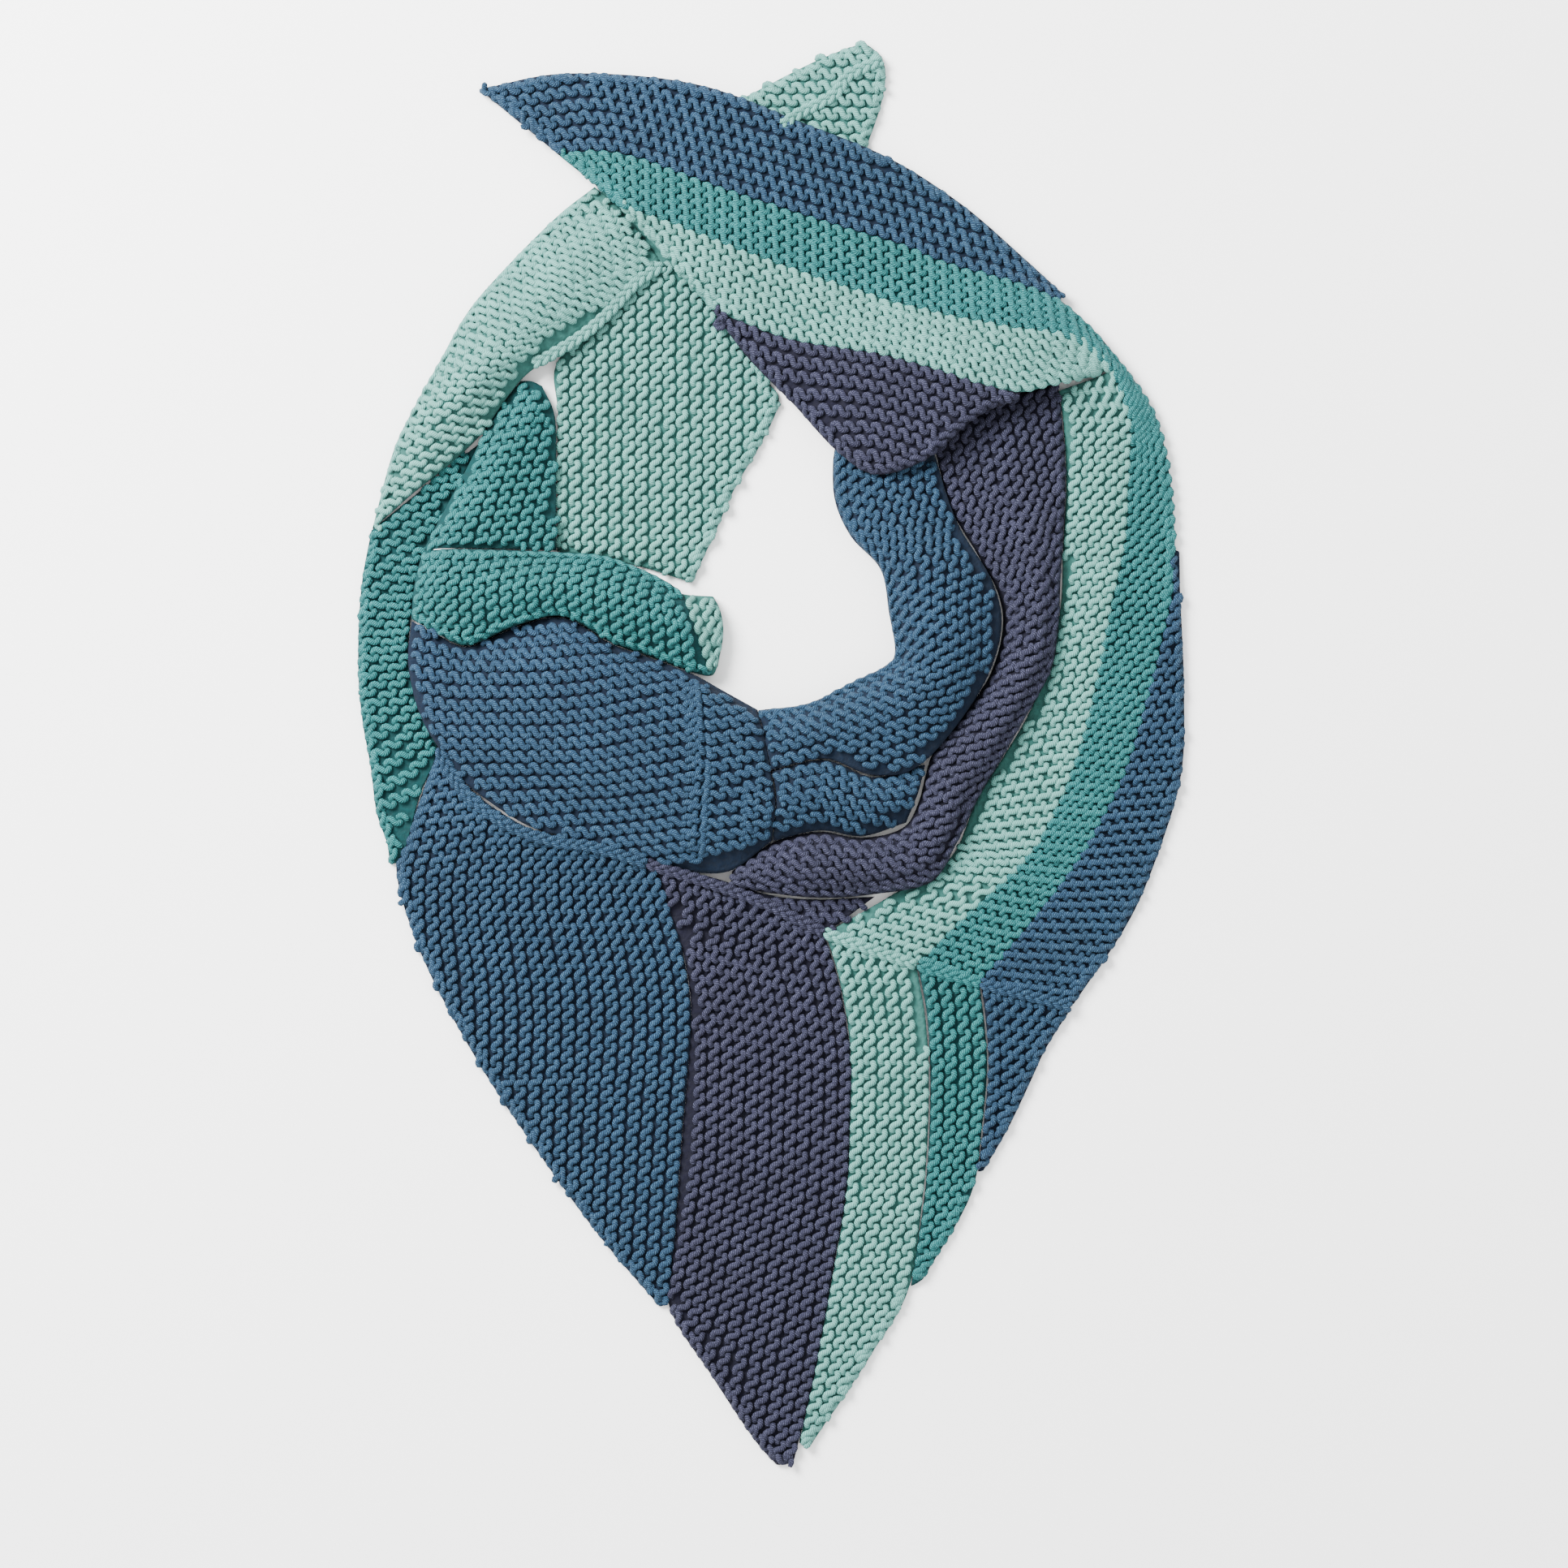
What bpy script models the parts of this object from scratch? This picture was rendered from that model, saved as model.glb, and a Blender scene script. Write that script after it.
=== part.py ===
"""Knitted shawl, laid down as if it were still wrapped round a neck, seen from straight above.

The shawl is one garter-stitch cloth knitted in colour stripes. Each stretch of cloth that shows is a table
of sections: one row for each section across the stretch, one column for each line that runs along it (an edge,
a fold or a colour seam). A stretch becomes one solid for each colour. Millimetres in the tables, metres in Blender.
"""
import math
from typing import NamedTuple

import bmesh
import bpy
import numpy as np

MM = 0.001
CLOTH = 4.6  # thickness of the garter cloth, which lies flat at this height
SEAM_GAP = 0.36  # left between two neighbouring solids
SNAP_REACH = 3.2  # an edge this near a neighbour is brought up to it
SOFT_EDGE = 1.3  # how far a cut edge is rounded off
THIN_EDGE = 1.6  # the least height of a side wall
ROW_STEP = 12.0  # wanted distance between two rows of points along a stretch
COLUMN_STEP = 11.0  # and across it
TABLE_TOP = 0.0
PLAN_CENTRE = np.array((-0.2973, 0.4301, 0.0))  # middle of the laid shawl in the tables' own frame

# Colours are those of the yarns in the photo: linear base colour, roughness
YARNS = {
    "mint": ((0.36, 0.60, 0.55), 0.85),
    "teal": ((0.050, 0.235, 0.235), 0.88),
    "denim": ((0.036, 0.088, 0.150), 0.90),
    "aubergine": ((0.058, 0.058, 0.098), 0.90),
}


class Stretch(NamedTuple):
    """One stretch of cloth: its lines are the columns, its sections the rows, each cell is x, y and height."""

    lines: tuple
    sections: tuple


class Piece(NamedTuple):
    """One solid cut from a stretch: between two lines and two sections, in one yarn colour."""

    node: str
    stretch: Stretch
    yarn: str
    lines: tuple
    sections: tuple
    heaped: bool  # folded layers share one solid down to the table
    level: int  # pieces of one level lie beside each other, and others lie over each other


# The end that crosses on top, from its knitted side edge at the left to the bend at the right
WING = Stretch(
    ("bind_off", "navy_teal", "teal_mint", "mint_aubergine", "lip"),
    (
        ((-122.5, 279, 4.6), (-89.5, 251.5, 7.5), (-64, 229, 13.2), (-25, 186, 10.8), (-22.5, 182.5, 10.4)),
        ((-85, 285.5, 4.9), (-63, 251, 11), (-40, 221.5, 14), (-9, 179.5, 11.5), (-9, 165, 10.4)),
        ((-32, 280.5, 8.8), (-20, 236, 13), (-8, 209, 13.5), (8, 173.5, 12.5), (9, 146.7, 11.5)),
        ((15, 263, 12.2), (20, 223, 13.5), (25, 197, 14.5), (28, 170, 15), (27, 127, 15)),
        ((50, 249, 9.2), (50, 214, 13.8), (50, 189, 16), (48, 166.5, 17.5), (43.5, 117, 17)),
        ((80, 230, 6.8), (77, 204, 13.5), (75, 183, 17.5), (70, 160, 20), (64.5, 123.5, 18)),
        ((104, 209.5, 5.2), (100, 198, 12.5), (98, 178.5, 18.5), (88, 154, 21.5), (85, 140.5, 20.5)),
        ((122.5, 192.5, 4.6), (119.5, 190.5, 9.5), (118, 176.3, 17), (103.5, 151, 20.5), (102.5, 148, 20)),
        ((137, 178, 4.6), (135.5, 177, 6), (131, 172, 13.5), (119, 155, 17.5), (118.5, 153.5, 17)),
        (
            (149.5, 161.5, 4.6), (148.5, 161.5, 5.2), (142.5, 161.5, 11.8),
            (131.5, 157.5, 12), (130.5, 156.5, 12),
        ),
    ),
)

# The folded layers that the wing lies on, which do not show
WING_CORE = Stretch(
    ("outer", "middle", "inner"),
    (
        ((46, 226, 5), (38, 197, 8), (31, 166, 8)),
        ((72, 211, 5.8), (66, 190, 11.2), (60, 161, 13)),
        ((98, 195, 6.6), (94, 180, 12.8), (87, 164, 14.8)),
        ((121, 177, 7.2), (119, 170, 11), (115, 162.5, 12)),
    ),
)

# The start of the knitting: its tip shows above the wing, the rest lies under the wing
START = Stretch(
    ("outer_edge", "spine", "inner_edge"),
    (
        ((32.5, 296.5, 4.6), (39.5, 297.5, 4.6), (46, 292.5, 4.6)),
        ((19, 291, 4.6), (32, 284, 5.6), (47.6, 285, 4.6)),
        ((3, 283, 4.6), (22, 273, 6), (45.5, 272, 4.6)),
        ((-14, 274, 4.6), (10, 264, 6), (40, 256, 4.6)),
        ((-35, 262, 4.6), (-8, 246, 6), (28, 225, 4.6)),
        ((-56, 250, 4.6), (-28, 228, 6), (10, 200, 4.6)),
        ((-73.5, 238.5, 4.6), (-46.5, 207.5, 6), (-6, 178, 4.6)),
    ),
)

# Left front: the raised mint fold between the outline and the spine, down to its teal seam
LEFT_FOLD = Stretch(
    ("outline", "outer_slope", "crest", "spine"),
    (
        ((-74.2, 238, 4.6), (-66, 231, 6), (-57, 221, 6.6), (-47, 207, 6.6)),
        ((-90, 225.5, 4.6), (-80, 220, 9), (-68, 212, 10.5), (-53, 199.5, 8)),
        ((-111.5, 204, 4.6), (-100, 201, 11), (-86, 197, 14), (-66, 187, 8.5)),
        ((-127, 186, 4.6), (-116, 184, 13), (-101, 181, 17.5), (-80, 173, 9)),
        ((-139, 165, 4.6), (-128, 166, 14), (-115, 165.5, 19), (-99.5, 161.5, 10)),
        ((-149, 147, 4.6), (-139, 150, 13), (-127, 152, 18), (-109, 151.5, 10)),
        ((-158.5, 127, 4.6), (-150, 131, 10), (-139, 134.5, 14), (-121.5, 134.3, 9)),
        ((-167.2, 95, 4.6), (-159, 102, 6), (-149, 110.5, 7.5), (-133.5, 122.7, 7)),
    ),
)

# Left edge band in teal, from the mint seam down to its own tip
LEFT_BAND = Stretch(
    ("outline", "outer", "inner", "valley"),
    (
        ((-167.6, 94.3, 4.6), (-150.5, 108, 5), (-134, 121.5, 5), (-122.5, 130.5, 4.8)),
        ((-171.5, 73, 4.6), (-158, 86, 5), (-146, 98, 5), (-132, 111.5, 4.8)),
        ((-173, 52, 4.6), (-165, 61, 5), (-157, 70, 5), (-146, 83, 5)),
        ((-173, 32, 4.6), (-167, 36, 5), (-160, 41, 5), (-152.2, 46, 5)),
        ((-171.3, 14, 4.6), (-164, 17, 5), (-157, 20, 5), (-148.5, 23.5, 5)),
        ((-168, -4.4, 4.6), (-159, -2, 5), (-151, 0, 5), (-140.2, 2.7, 5)),
        ((-165.5, -23.5, 4.6), (-160, -21, 5), (-154, -18.5, 5), (-147, -15.5, 5)),
        ((-161, -37, 4.6), (-158.5, -36, 4.8), (-155.5, -35, 5), (-152, -34, 5)),
        ((-160.2, -44.6, 4.6), (-158.8, -45, 4.6), (-157.2, -45, 4.6), (-155.4, -44.2, 4.6)),
    ),
)

# The flat mint panel inside the left front, bounded by the spine, the neck opening and the teal folds
PANEL = Stretch(
    ("spine_side", "middle", "opening_edge"),
    (
        ((-48.8, 204, 6.3), (-29, 196.5, 5), (-6, 178, 4.6)),
        ((-67, 184, 6.5), (-40, 172, 4.6), (-3, 160, 4.6)),
        ((-89.5, 165, 6.5), (-46, 150, 4.6), (3, 148.5, 4.6)),
        ((-89.5, 143, 4.8), (-48, 130, 4.6), (-5.5, 129, 4.6)),
        ((-89.5, 117, 4.8), (-50, 112, 4.6), (-15, 113, 4.6)),
        ((-89.5, 100, 4.8), (-54, 96, 4.6), (-24, 93, 4.6)),
        ((-89.5, 85.5, 4.8), (-60, 80.5, 4.6), (-33.5, 72.5, 4.6)),
    ),
)

# Teal triangle beside the panel: it rises to the left and drops to the left band
TRIANGLE = Stretch(
    ("valley", "crest", "panel_side"),
    (
        ((-105, 156.5, 7), (-100.5, 156.5, 7.5), (-96, 154.5, 7)),
        ((-117, 140.5, 8), (-104, 140, 13.5), (-90.8, 142, 7.5)),
        ((-126.5, 121.5, 10), (-113, 121, 16.5), (-90.2, 121, 8)),
        ((-137, 101.5, 11), (-124, 102, 18.5), (-90.2, 102, 9)),
        ((-145.2, 85.5, 12), (-132, 86.2, 19.5), (-90.2, 85.8, 11)),
    ),
)

# Teal roll that lies over the neck, from the left band to the opening, and its mint end
TEAL_ROLL = Stretch(
    ("upper_lip", "upper_slope", "crest", "lower_lip"),
    (
        ((-145.5, 84.8, 12), (-148, 76, 12.5), (-149.5, 67, 12.5), (-150.3, 57, 12)),
        ((-138, 85.6, 18.5), (-139, 77, 20), (-140, 66, 20), (-141, 52, 14)),
        ((-124, 85.6, 20), (-125, 77, 22.5), (-126, 64, 22.5), (-127, 46, 13.5)),
        ((-105, 85.2, 17), (-106, 77, 23), (-106.5, 67, 24.5), (-107, 54, 16.5)),
        ((-88, 84.6, 14.5), (-87.5, 77, 21.5), (-87, 68, 24.5), (-87, 58, 18)),
        ((-71, 83.4, 13), (-70, 75, 20.5), (-69, 63, 24.5), (-67, 47.3, 16)),
        ((-55, 78, 12), (-53.5, 70, 19.5), (-52, 58, 23), (-49, 40.8, 13.5)),
        ((-42, 71.5, 11), (-40, 64, 17), (-38, 53, 20), (-33, 34.8, 12)),
        ((-37.3, 67.5, 10.5), (-34.5, 62, 14.5), (-31.5, 53, 16), (-25.3, 33.5, 10)),
        ((-24.5, 66.5, 8), (-21.5, 60.5, 8.5), (-20.3, 51, 8.5), (-22.6, 37.5, 8)),
    ),
)

# Wide denim dome under the teal roll: from the left fold edge to below the neck opening
DOME = Stretch(
    ("roll_side", "upper", "crest", "foot", "spine"),
    (
        ((-150.2, 56, 11.5), (-151.6, 40, 13), (-149, 24, 12), (-144.5, 12, 10), (-139.6, 3.8, 8.5)),
        ((-141, 51.2, 12.5), (-142, 38, 15.5), (-141, 20, 15.5), (-138.5, 6, 12.5), (-134.5, -3.5, 10)),
        ((-127, 45.3, 11.5), (-128, 33, 18), (-128, 14, 18.5), (-127, -1, 14), (-126, -13, 12)),
        ((-107, 53.3, 12), (-105, 35, 22), (-104, 8, 21.5), (-103, -11, 14.5), (-104, -28, 13)),
        ((-87, 57.3, 16), (-83, 38, 25), (-82, 2, 23.5), (-80, -22, 13.5), (-85, -34.5, 12.5)),
        ((-67, 46.6, 15), (-61, 31, 25), (-58, -4, 25), (-63, -33, 13.5), (-66.5, -39.5, 11.8)),
        ((-49, 40, 14), (-44, 26, 23.5), (-40, -6, 25), (-42, -35, 18), (-45, -46, 10)),
        ((-33, 34, 12.5), (-29, 22, 21), (-27, -4, 24), (-27, -34, 19), (-30, -49, 10.5)),
        ((-21, 27.5, 10), (-18, 17, 18.5), (-15, -5, 22), (-14, -28, 20), (-16, -47.5, 12)),
        ((-6, 19.2, 8.5), (-3.5, 9, 17), (-0.5, -6, 19.5), (1.5, -20, 20.5), (0, -35.5, 14)),
    ),
)

# Denim roll round the bottom and the right of the neck opening, up to where it goes under the wing
NECK_ROLL = Stretch(
    ("opening_edge", "inner_slope", "crest", "outer_lip"),
    (
        ((-5.6, 19, 8.5), (-4, 12.5, 14), (-2.5, 5, 18), (0, -6, 19.3)),
        ((15, 21.8, 8), (16.5, 16, 16), (18.5, 10, 19), (22, -1.2, 17)),
        ((33, 30.4, 8), (34.5, 24, 17.5), (38, 14, 22), (43, -8.2, 15)),
        ((47, 37.3, 8), (51, 31, 18), (56, 21, 23), (63, -3, 15)),
        ((51.5, 43.5, 8), (60, 41, 19), (71, 38, 23.5), (86.5, 26.5, 14)),
        ((49, 60, 8), (58, 58, 18), (74, 55.5, 23), (95.6, 52, 13)),
        ((45.5, 78, 8), (54, 77, 16.5), (70, 75, 21), (92, 72.5, 12)),
        ((33.3, 91.5, 7), (43, 93, 13.5), (57, 94.5, 17), (79, 94, 11)),
        ((26.6, 106, 6.5), (36, 107.5, 11.5), (49, 109, 14), (73, 109, 10)),
        ((25.5, 121, 6), (34, 123, 9.5), (46, 124, 11), (68.5, 124, 9)),
        ((27, 133, 5.5), (35, 135, 7.5), (47, 136, 8.5), (64, 136, 7.5)),
    ),
)

# Second denim fold, below the neck roll
NECK_FOLD = Stretch(
    ("roll_side", "upper", "crest", "lip"),
    (
        ((0.3, -6.6, 19.2), (1.5, -13, 20.5), (2, -21, 20), (0.5, -35.6, 13.5)),
        ((22, -2, 15.5), (22.5, -9, 18.5), (22.5, -18, 19), (20, -31.2, 12.5)),
        ((42.5, -9, 12), (43, -15, 16), (42, -23, 16.5), (38, -33.6, 11.5)),
        ((64, -3.8, 11), (62.5, -10, 12.5), (60.5, -17, 12.5), (56, -28, 10.5)),
    ),
)

# Aubergine roll: from under the wing down the right side and back to the left under the denim folds
AUBERGINE_ROLL = Stretch(
    ("inner_lip", "inner_slope", "crest", "outer_lip"),
    (
        ((66, 139, 6.5), (80, 143, 7.5), (99, 150, 8), (119.6, 156, 7)),
        ((70, 121.5, 6.8), (84, 121.5, 8.5), (103, 122, 10), (122.5, 125, 7.5)),
        ((75, 103.5, 7), (87, 103, 10), (105, 102, 12.5), (122.3, 100, 8)),
        ((86, 84.5, 7), (95, 82.5, 11), (109, 80, 15), (120.8, 78, 8.5)),
        ((95, 67.5, 7.5), (101, 65, 13), (111, 60, 16), (119.8, 56, 9)),
        ((96.6, 52, 7.5), (101.5, 48, 13.5), (109.5, 42, 16.5), (116.6, 36, 9.5)),
        ((91, 33, 7.5), (94.5, 29, 13.5), (100.5, 23, 16.5), (107, 18, 9.5)),
        ((78.5, 15, 8), (83, 11, 14), (89.5, 5, 16.5), (97, 0.5, 9.5)),
        ((67.2, 0.5, 9), (71, -5, 14), (78, -12.5, 16.5), (86.6, -17, 9.5)),
        ((61.5, -19.5, 9), (64.5, -25, 14), (70, -32, 16), (77, -37, 9.5)),
        ((54.5, -30.5, 8.5), (55.5, -37, 14), (59, -45, 16), (66, -53, 9.5)),
        ((37.5, -34.4, 9), (37, -40, 15), (37.5, -49, 16), (40, -58.2, 9.5)),
        ((19.5, -32, 10), (19, -38.5, 15.5), (19, -48.5, 17), (20, -59.4, 10)),
        ((0.8, -36.4, 10), (0.3, -41, 14), (0, -49, 15), (0, -57.5, 10)),
        ((-16.5, -48.3, 9.5), (-16.8, -50, 10.5), (-17, -52.4, 10.5), (-17.5, -54.6, 9.5)),
    ),
)

# Shadowed strip of the inner aubergine side that shows between the rolls and the spine
UNDER_STRIP = Stretch(
    ("roll_side", "spine"),
    (
        ((-45, -46.8, 9.5), (-49, -46.2, 10.5)),
        ((-24, -51.2, 8), (-26, -54.2, 9.5)),
        ((-1, -58.3, 7.5), (-3, -62.2, 9)),
        ((19, -60.2, 7), (10, -69, 8.5)),
        ((43, -59, 6.5), (22.4, -74.3, 8)),
    ),
)

# Right side, the lower layer from the bend under the wing down to the spine
RIGHT_BAND = Stretch(
    ("outline", "teal_navy", "mint_teal", "mint_middle", "roll_side"),
    (
        ((150.5, 160.8, 4.6), (149.4, 160.8, 5.2), (143, 160.6, 11.8), (132, 156.6, 9.5), (120, 152.5, 7)),
        ((162.5, 141, 4.6), (160.8, 141, 5), (150, 141, 9.5), (137, 141, 8.3), (122, 139, 6.5)),
        ((167.6, 117, 4.6), (166.4, 117, 5), (149.5, 117, 8.3), (137, 117, 8.3), (123.2, 115, 6)),
        ((170, 84, 4.6), (168.5, 86, 5), (147.2, 88, 8.3), (134, 88, 7.8), (122, 88, 5.6)),
        ((171.3, 60, 4.6), (166.3, 61, 6.5), (141.3, 60, 8.5), (130, 59, 7.3), (120, 56, 5)),
        ((172.6, 24, 4.6), (156.7, 24, 7.2), (134.4, 24, 8.5), (121, 23, 7.1), (108.8, 20, 5)),
        ((171.3, -8, 4.6), (147, -8, 7.2), (125, -8, 8.2), (108, -11, 7), (86.8, -17, 5)),
        ((162, -40, 4.6), (130, -40, 7.2), (109, -40, 8.2), (93, -42, 7), (74.6, -43, 5)),
        ((149, -70, 4.6), (110.5, -67, 7.2), (84.5, -64, 8.2), (66, -61, 7.4), (50, -58.5, 6)),
        ((126.3, -104, 4.8), (87.3, -94, 8), (61, -86.5, 8.6), (42, -80.3, 8.3), (23.2, -73.9, 8)),
    ),
)

# Front point, denim: from the spine down between the left outline and the aubergine seam
FRONT_DENIM = Stretch(
    ("outline", "outer", "left", "middle", "right", "seam"),
    (
        (
            (-139.8, 2.6, 5), (-126.2, -14, 11.4), (-104, -29, 12.4),
            (-85, -35.3, 11.9), (-66.6, -40.3, 11.2), (-49.8, -46.5, 10.5),
        ),
        (
            (-152, -32.5, 4.8), (-134, -36, 7), (-113, -43, 7.5),
            (-91, -50, 7), (-68, -58, 6.8), (-42.5, -65, 8),
        ),
        (
            (-157, -50, 4.6), (-137, -58, 5.4), (-114, -65, 6),
            (-90, -72, 5.8), (-64, -78, 5.6), (-37.5, -81, 6.6),
        ),
        (
            (-145.5, -86, 4.6), (-124, -91, 5), (-101, -97, 5.2),
            (-79, -102, 5), (-56, -106, 5), (-33.8, -108, 5.4),
        ),
        (
            (-124, -126.5, 4.6), (-107, -129, 4.8), (-90, -131, 5),
            (-72, -133, 5), (-54, -134, 5), (-35.4, -135, 5),
        ),
        (
            (-101, -161.5, 4.6), (-88, -162.5, 4.8), (-76, -163, 4.8),
            (-63, -164, 4.8), (-51, -165, 4.8), (-38.2, -166, 4.8),
        ),
        (
            (-73, -200, 4.6), (-66.5, -200, 4.6), (-60, -200.5, 4.6),
            (-53.5, -200.5, 4.6), (-47, -201, 4.6), (-40.4, -201, 4.6),
        ),
        (
            (-47, -230.5, 4.6), (-46.3, -230.4, 4.6), (-45.6, -230.2, 4.6),
            (-44.9, -230, 4.6), (-44.2, -229.8, 4.6), (-43.4, -229.5, 4.6),
        ),
    ),
)

# Front point, aubergine: between its two seams, down to the tip
FRONT_AUBERGINE = Stretch(
    ("denim_seam", "left", "middle", "right", "mint_seam"),
    (
        ((-49, -47, 10.5), (-27, -55, 9.6), (-3, -63, 9), (10, -69.8, 8.5), (21.8, -75, 8)),
        ((-41.9, -67, 7.8), (-24, -73, 7), (-6, -79, 6.4), (10, -84, 6.2), (26.2, -88, 6.5)),
        ((-36.4, -85, 6.3), (-20, -89, 5.8), (-3, -94, 5.6), (14, -99, 5.6), (30, -104.5, 5.8)),
        ((-33.6, -108, 5.4), (-17, -113, 5.2), (0, -118, 5.2), (17, -124, 5.2), (33.2, -130, 5.2)),
        ((-35.3, -135, 5), (-18, -140, 5), (-1, -145, 5), (16, -150, 5), (32.6, -155, 5)),
        ((-38, -166, 4.8), (-21, -170, 4.8), (-3, -174, 4.8), (14, -178, 4.8), (31.3, -182, 4.8)),
        ((-40.3, -201, 4.6), (-24, -203, 4.6), (-7, -205, 4.6), (9, -207, 4.6), (26.6, -210, 4.6)),
        ((-43, -230, 4.6), (-27, -232, 4.6), (-11, -234, 4.6), (5, -236, 4.6), (21.8, -238, 4.6)),
        ((-25, -259.8, 4.6), (-14.5, -260, 4.6), (-4, -261, 4.6), (6.5, -261.5, 4.6), (17.4, -262, 4.6)),
        ((-7.5, -286, 4.6), (-2.5, -285, 4.6), (2.5, -284, 4.6), (7.5, -283, 4.6), (12.6, -281.5, 4.6)),
        ((2, -296.8, 4.6), (4, -296.8, 4.6), (6, -296.6, 4.6), (7.8, -296, 4.6), (9.4, -294.5, 4.6)),
    ),
)

# Front point, the mint, teal and denim stripes, from the spine down to the right outline
FRONT_MINT = Stretch(
    ("aubergine_seam", "middle", "teal_seam"),
    (
        ((22.8, -75.2, 8), (42, -81.5, 8.3), (60.4, -88, 8.6)),
        ((28.5, -94.5, 6.5), (46, -101, 6.7), (64, -108, 6.7)),
        ((32.8, -122, 5.4), (49, -127, 5.8), (65.6, -131, 5.8)),
        ((32.7, -155, 5), (49, -156, 5.2), (65.3, -157, 5.2)),
        ((31.4, -182, 4.8), (47, -183, 4.8), (63.2, -184, 4.8)),
        ((27, -209, 4.6), (42, -215.5, 4.6), (57.3, -223, 4.6)),
        ((22, -237, 4.6), (32, -243, 4.6), (42.3, -249.5, 4.6)),
        ((17.4, -262, 4.6), (23, -266, 4.6), (29, -270, 4.6)),
        ((14.4, -275, 4.6), (18.3, -277.4, 4.6), (22.4, -279.4, 4.6)),
        ((11.6, -287.6, 4.6), (13.6, -288.6, 4.6), (15.8, -289.4, 4.6)),
    ),
)
FRONT_TEAL = Stretch(
    ("mint_seam", "middle", "denim_seam"),
    (
        ((61.2, -88.4, 8.6), (74, -92, 8.4), (86.7, -95.6, 8)),
        ((64.9, -108, 6.7), (77, -109.5, 6.6), (88.8, -111, 6.2)),
        ((66.3, -131, 5.8), (78, -131, 5.8), (90, -131, 5.6)),
        ((66, -157, 5.2), (77, -157, 5.2), (87.7, -157, 5)),
        ((64, -184, 4.8), (73, -182, 4.8), (83, -184.5, 4.6)),
        ((58.4, -222, 4.6), (60.5, -221, 4.6), (63.2, -219.2, 4.6)),
    ),
)
FRONT_NAVY = Stretch(
    ("teal_seam", "middle", "outline"),
    (
        ((87.6, -96, 8), (106, -101, 6.5), (125.4, -105.6, 4.8)),
        ((89.6, -111, 6.2), (102, -116.5, 5.4), (115, -122, 4.6)),
        ((90.8, -131, 5.6), (99, -134, 5), (108, -137, 4.6)),
        ((89.2, -150, 5.2), (93.5, -153.5, 4.8), (98.6, -156.5, 4.6)),
        ((86.4, -174, 4.8), (87.4, -174, 4.6), (88.6, -173.6, 4.6)),
    ),
)

# Each solid, in the order in which neighbours are fitted to each other: the upper folds come first
PIECES = (
    Piece("wing_navy", WING, "denim", (0, 1), (0, 7), False, 2),
    Piece("wing_teal", WING, "teal", (1, 2), (0, 9), False, 2),
    Piece("wing_mint", WING, "mint", (2, 3), (0, 9), False, 2),
    Piece("wing_aubergine", WING, "aubergine", (3, 4), (0, 7), False, 2),
    Piece("wing_core", WING_CORE, "aubergine", (0, 2), (0, 3), True, 1),
    Piece("roll_teal", TEAL_ROLL, "teal", (0, 3), (0, 8), True, 1),
    Piece("roll_mint", TEAL_ROLL, "mint", (0, 3), (8, 9), True, 1),
    Piece("neck_roll", NECK_ROLL, "denim", (0, 3), (0, 10), True, 1),
    Piece("neck_dome", DOME, "denim", (0, 4), (0, 9), True, 1),
    Piece("neck_fold", NECK_FOLD, "denim", (0, 3), (0, 3), True, 1),
    Piece("roll_aubergine", AUBERGINE_ROLL, "aubergine", (0, 3), (0, 14), True, 1),
    Piece("left_fold_mint", LEFT_FOLD, "mint", (0, 3), (0, 7), False, 1),
    Piece("start_mint", START, "mint", (0, 2), (0, 6), False, 1),
    Piece("triangle_teal", TRIANGLE, "teal", (0, 2), (0, 4), False, 1),
    Piece("panel_mint", PANEL, "mint", (0, 2), (0, 6), False, 1),
    Piece("left_teal", LEFT_BAND, "teal", (0, 3), (0, 8), False, 1),
    Piece("right_navy", RIGHT_BAND, "denim", (0, 1), (3, 9), False, 3),
    Piece("right_teal", RIGHT_BAND, "teal", (1, 2), (0, 9), False, 3),
    Piece("right_mint", RIGHT_BAND, "mint", (2, 4), (0, 9), False, 3),
    Piece("under_aubergine", UNDER_STRIP, "aubergine", (0, 1), (0, 4), False, 1),
    Piece("front_denim", FRONT_DENIM, "denim", (0, 5), (0, 7), False, 1),
    Piece("front_aubergine", FRONT_AUBERGINE, "aubergine", (0, 4), (0, 10), False, 1),
    Piece("front_mint", FRONT_MINT, "mint", (0, 2), (0, 9), False, 1),
    Piece("front_teal", FRONT_TEAL, "teal", (0, 2), (0, 5), False, 1),
    Piece("front_navy", FRONT_NAVY, "denim", (0, 2), (0, 4), False, 1),
)


def smooth(points, where):
    """Points on the curve that passes evenly through the given points, at positions counted in points."""
    last = len(points) - 1
    where = np.clip(np.asarray(where, dtype=float), 0.0, last)
    first = np.minimum(where.astype(int), last - 1)
    part = (where - first)[:, None]
    if points.ndim == 3:
        part = part[:, :, None]
    here, there = points[first], points[first + 1]
    before = np.where((first > 0).reshape(part.shape), points[np.maximum(first - 1, 0)], 2 * here - there)
    after = np.where((first < last - 1).reshape(part.shape), points[np.minimum(first + 2, last)], 2 * there - here)
    start, end = (there - before) / 2, (after - here) / 2
    square, cube = part**2, part**3
    return (
        (2 * cube - 3 * square + 1) * here
        + (cube - 2 * square + part) * start
        + (3 * square - 2 * cube) * there
        + (cube - square) * end
    )


def surface(stretch, along, across):
    """Grid of points on a stretch: along counts sections, across counts lines."""
    rows = smooth(np.array(stretch.sections, dtype=float), along)
    return np.stack([smooth(row, across) for row in rows])


def positions(first, last, lengths, step):
    """Even positions from first to last, with about one step of length between two of them."""
    places = [float(first)]
    for number, length in zip(range(first, last), lengths):
        parts = max(1, round(length / step))
        places += [number + (k + 1) / parts for k in range(parts)]
    return places


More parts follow.
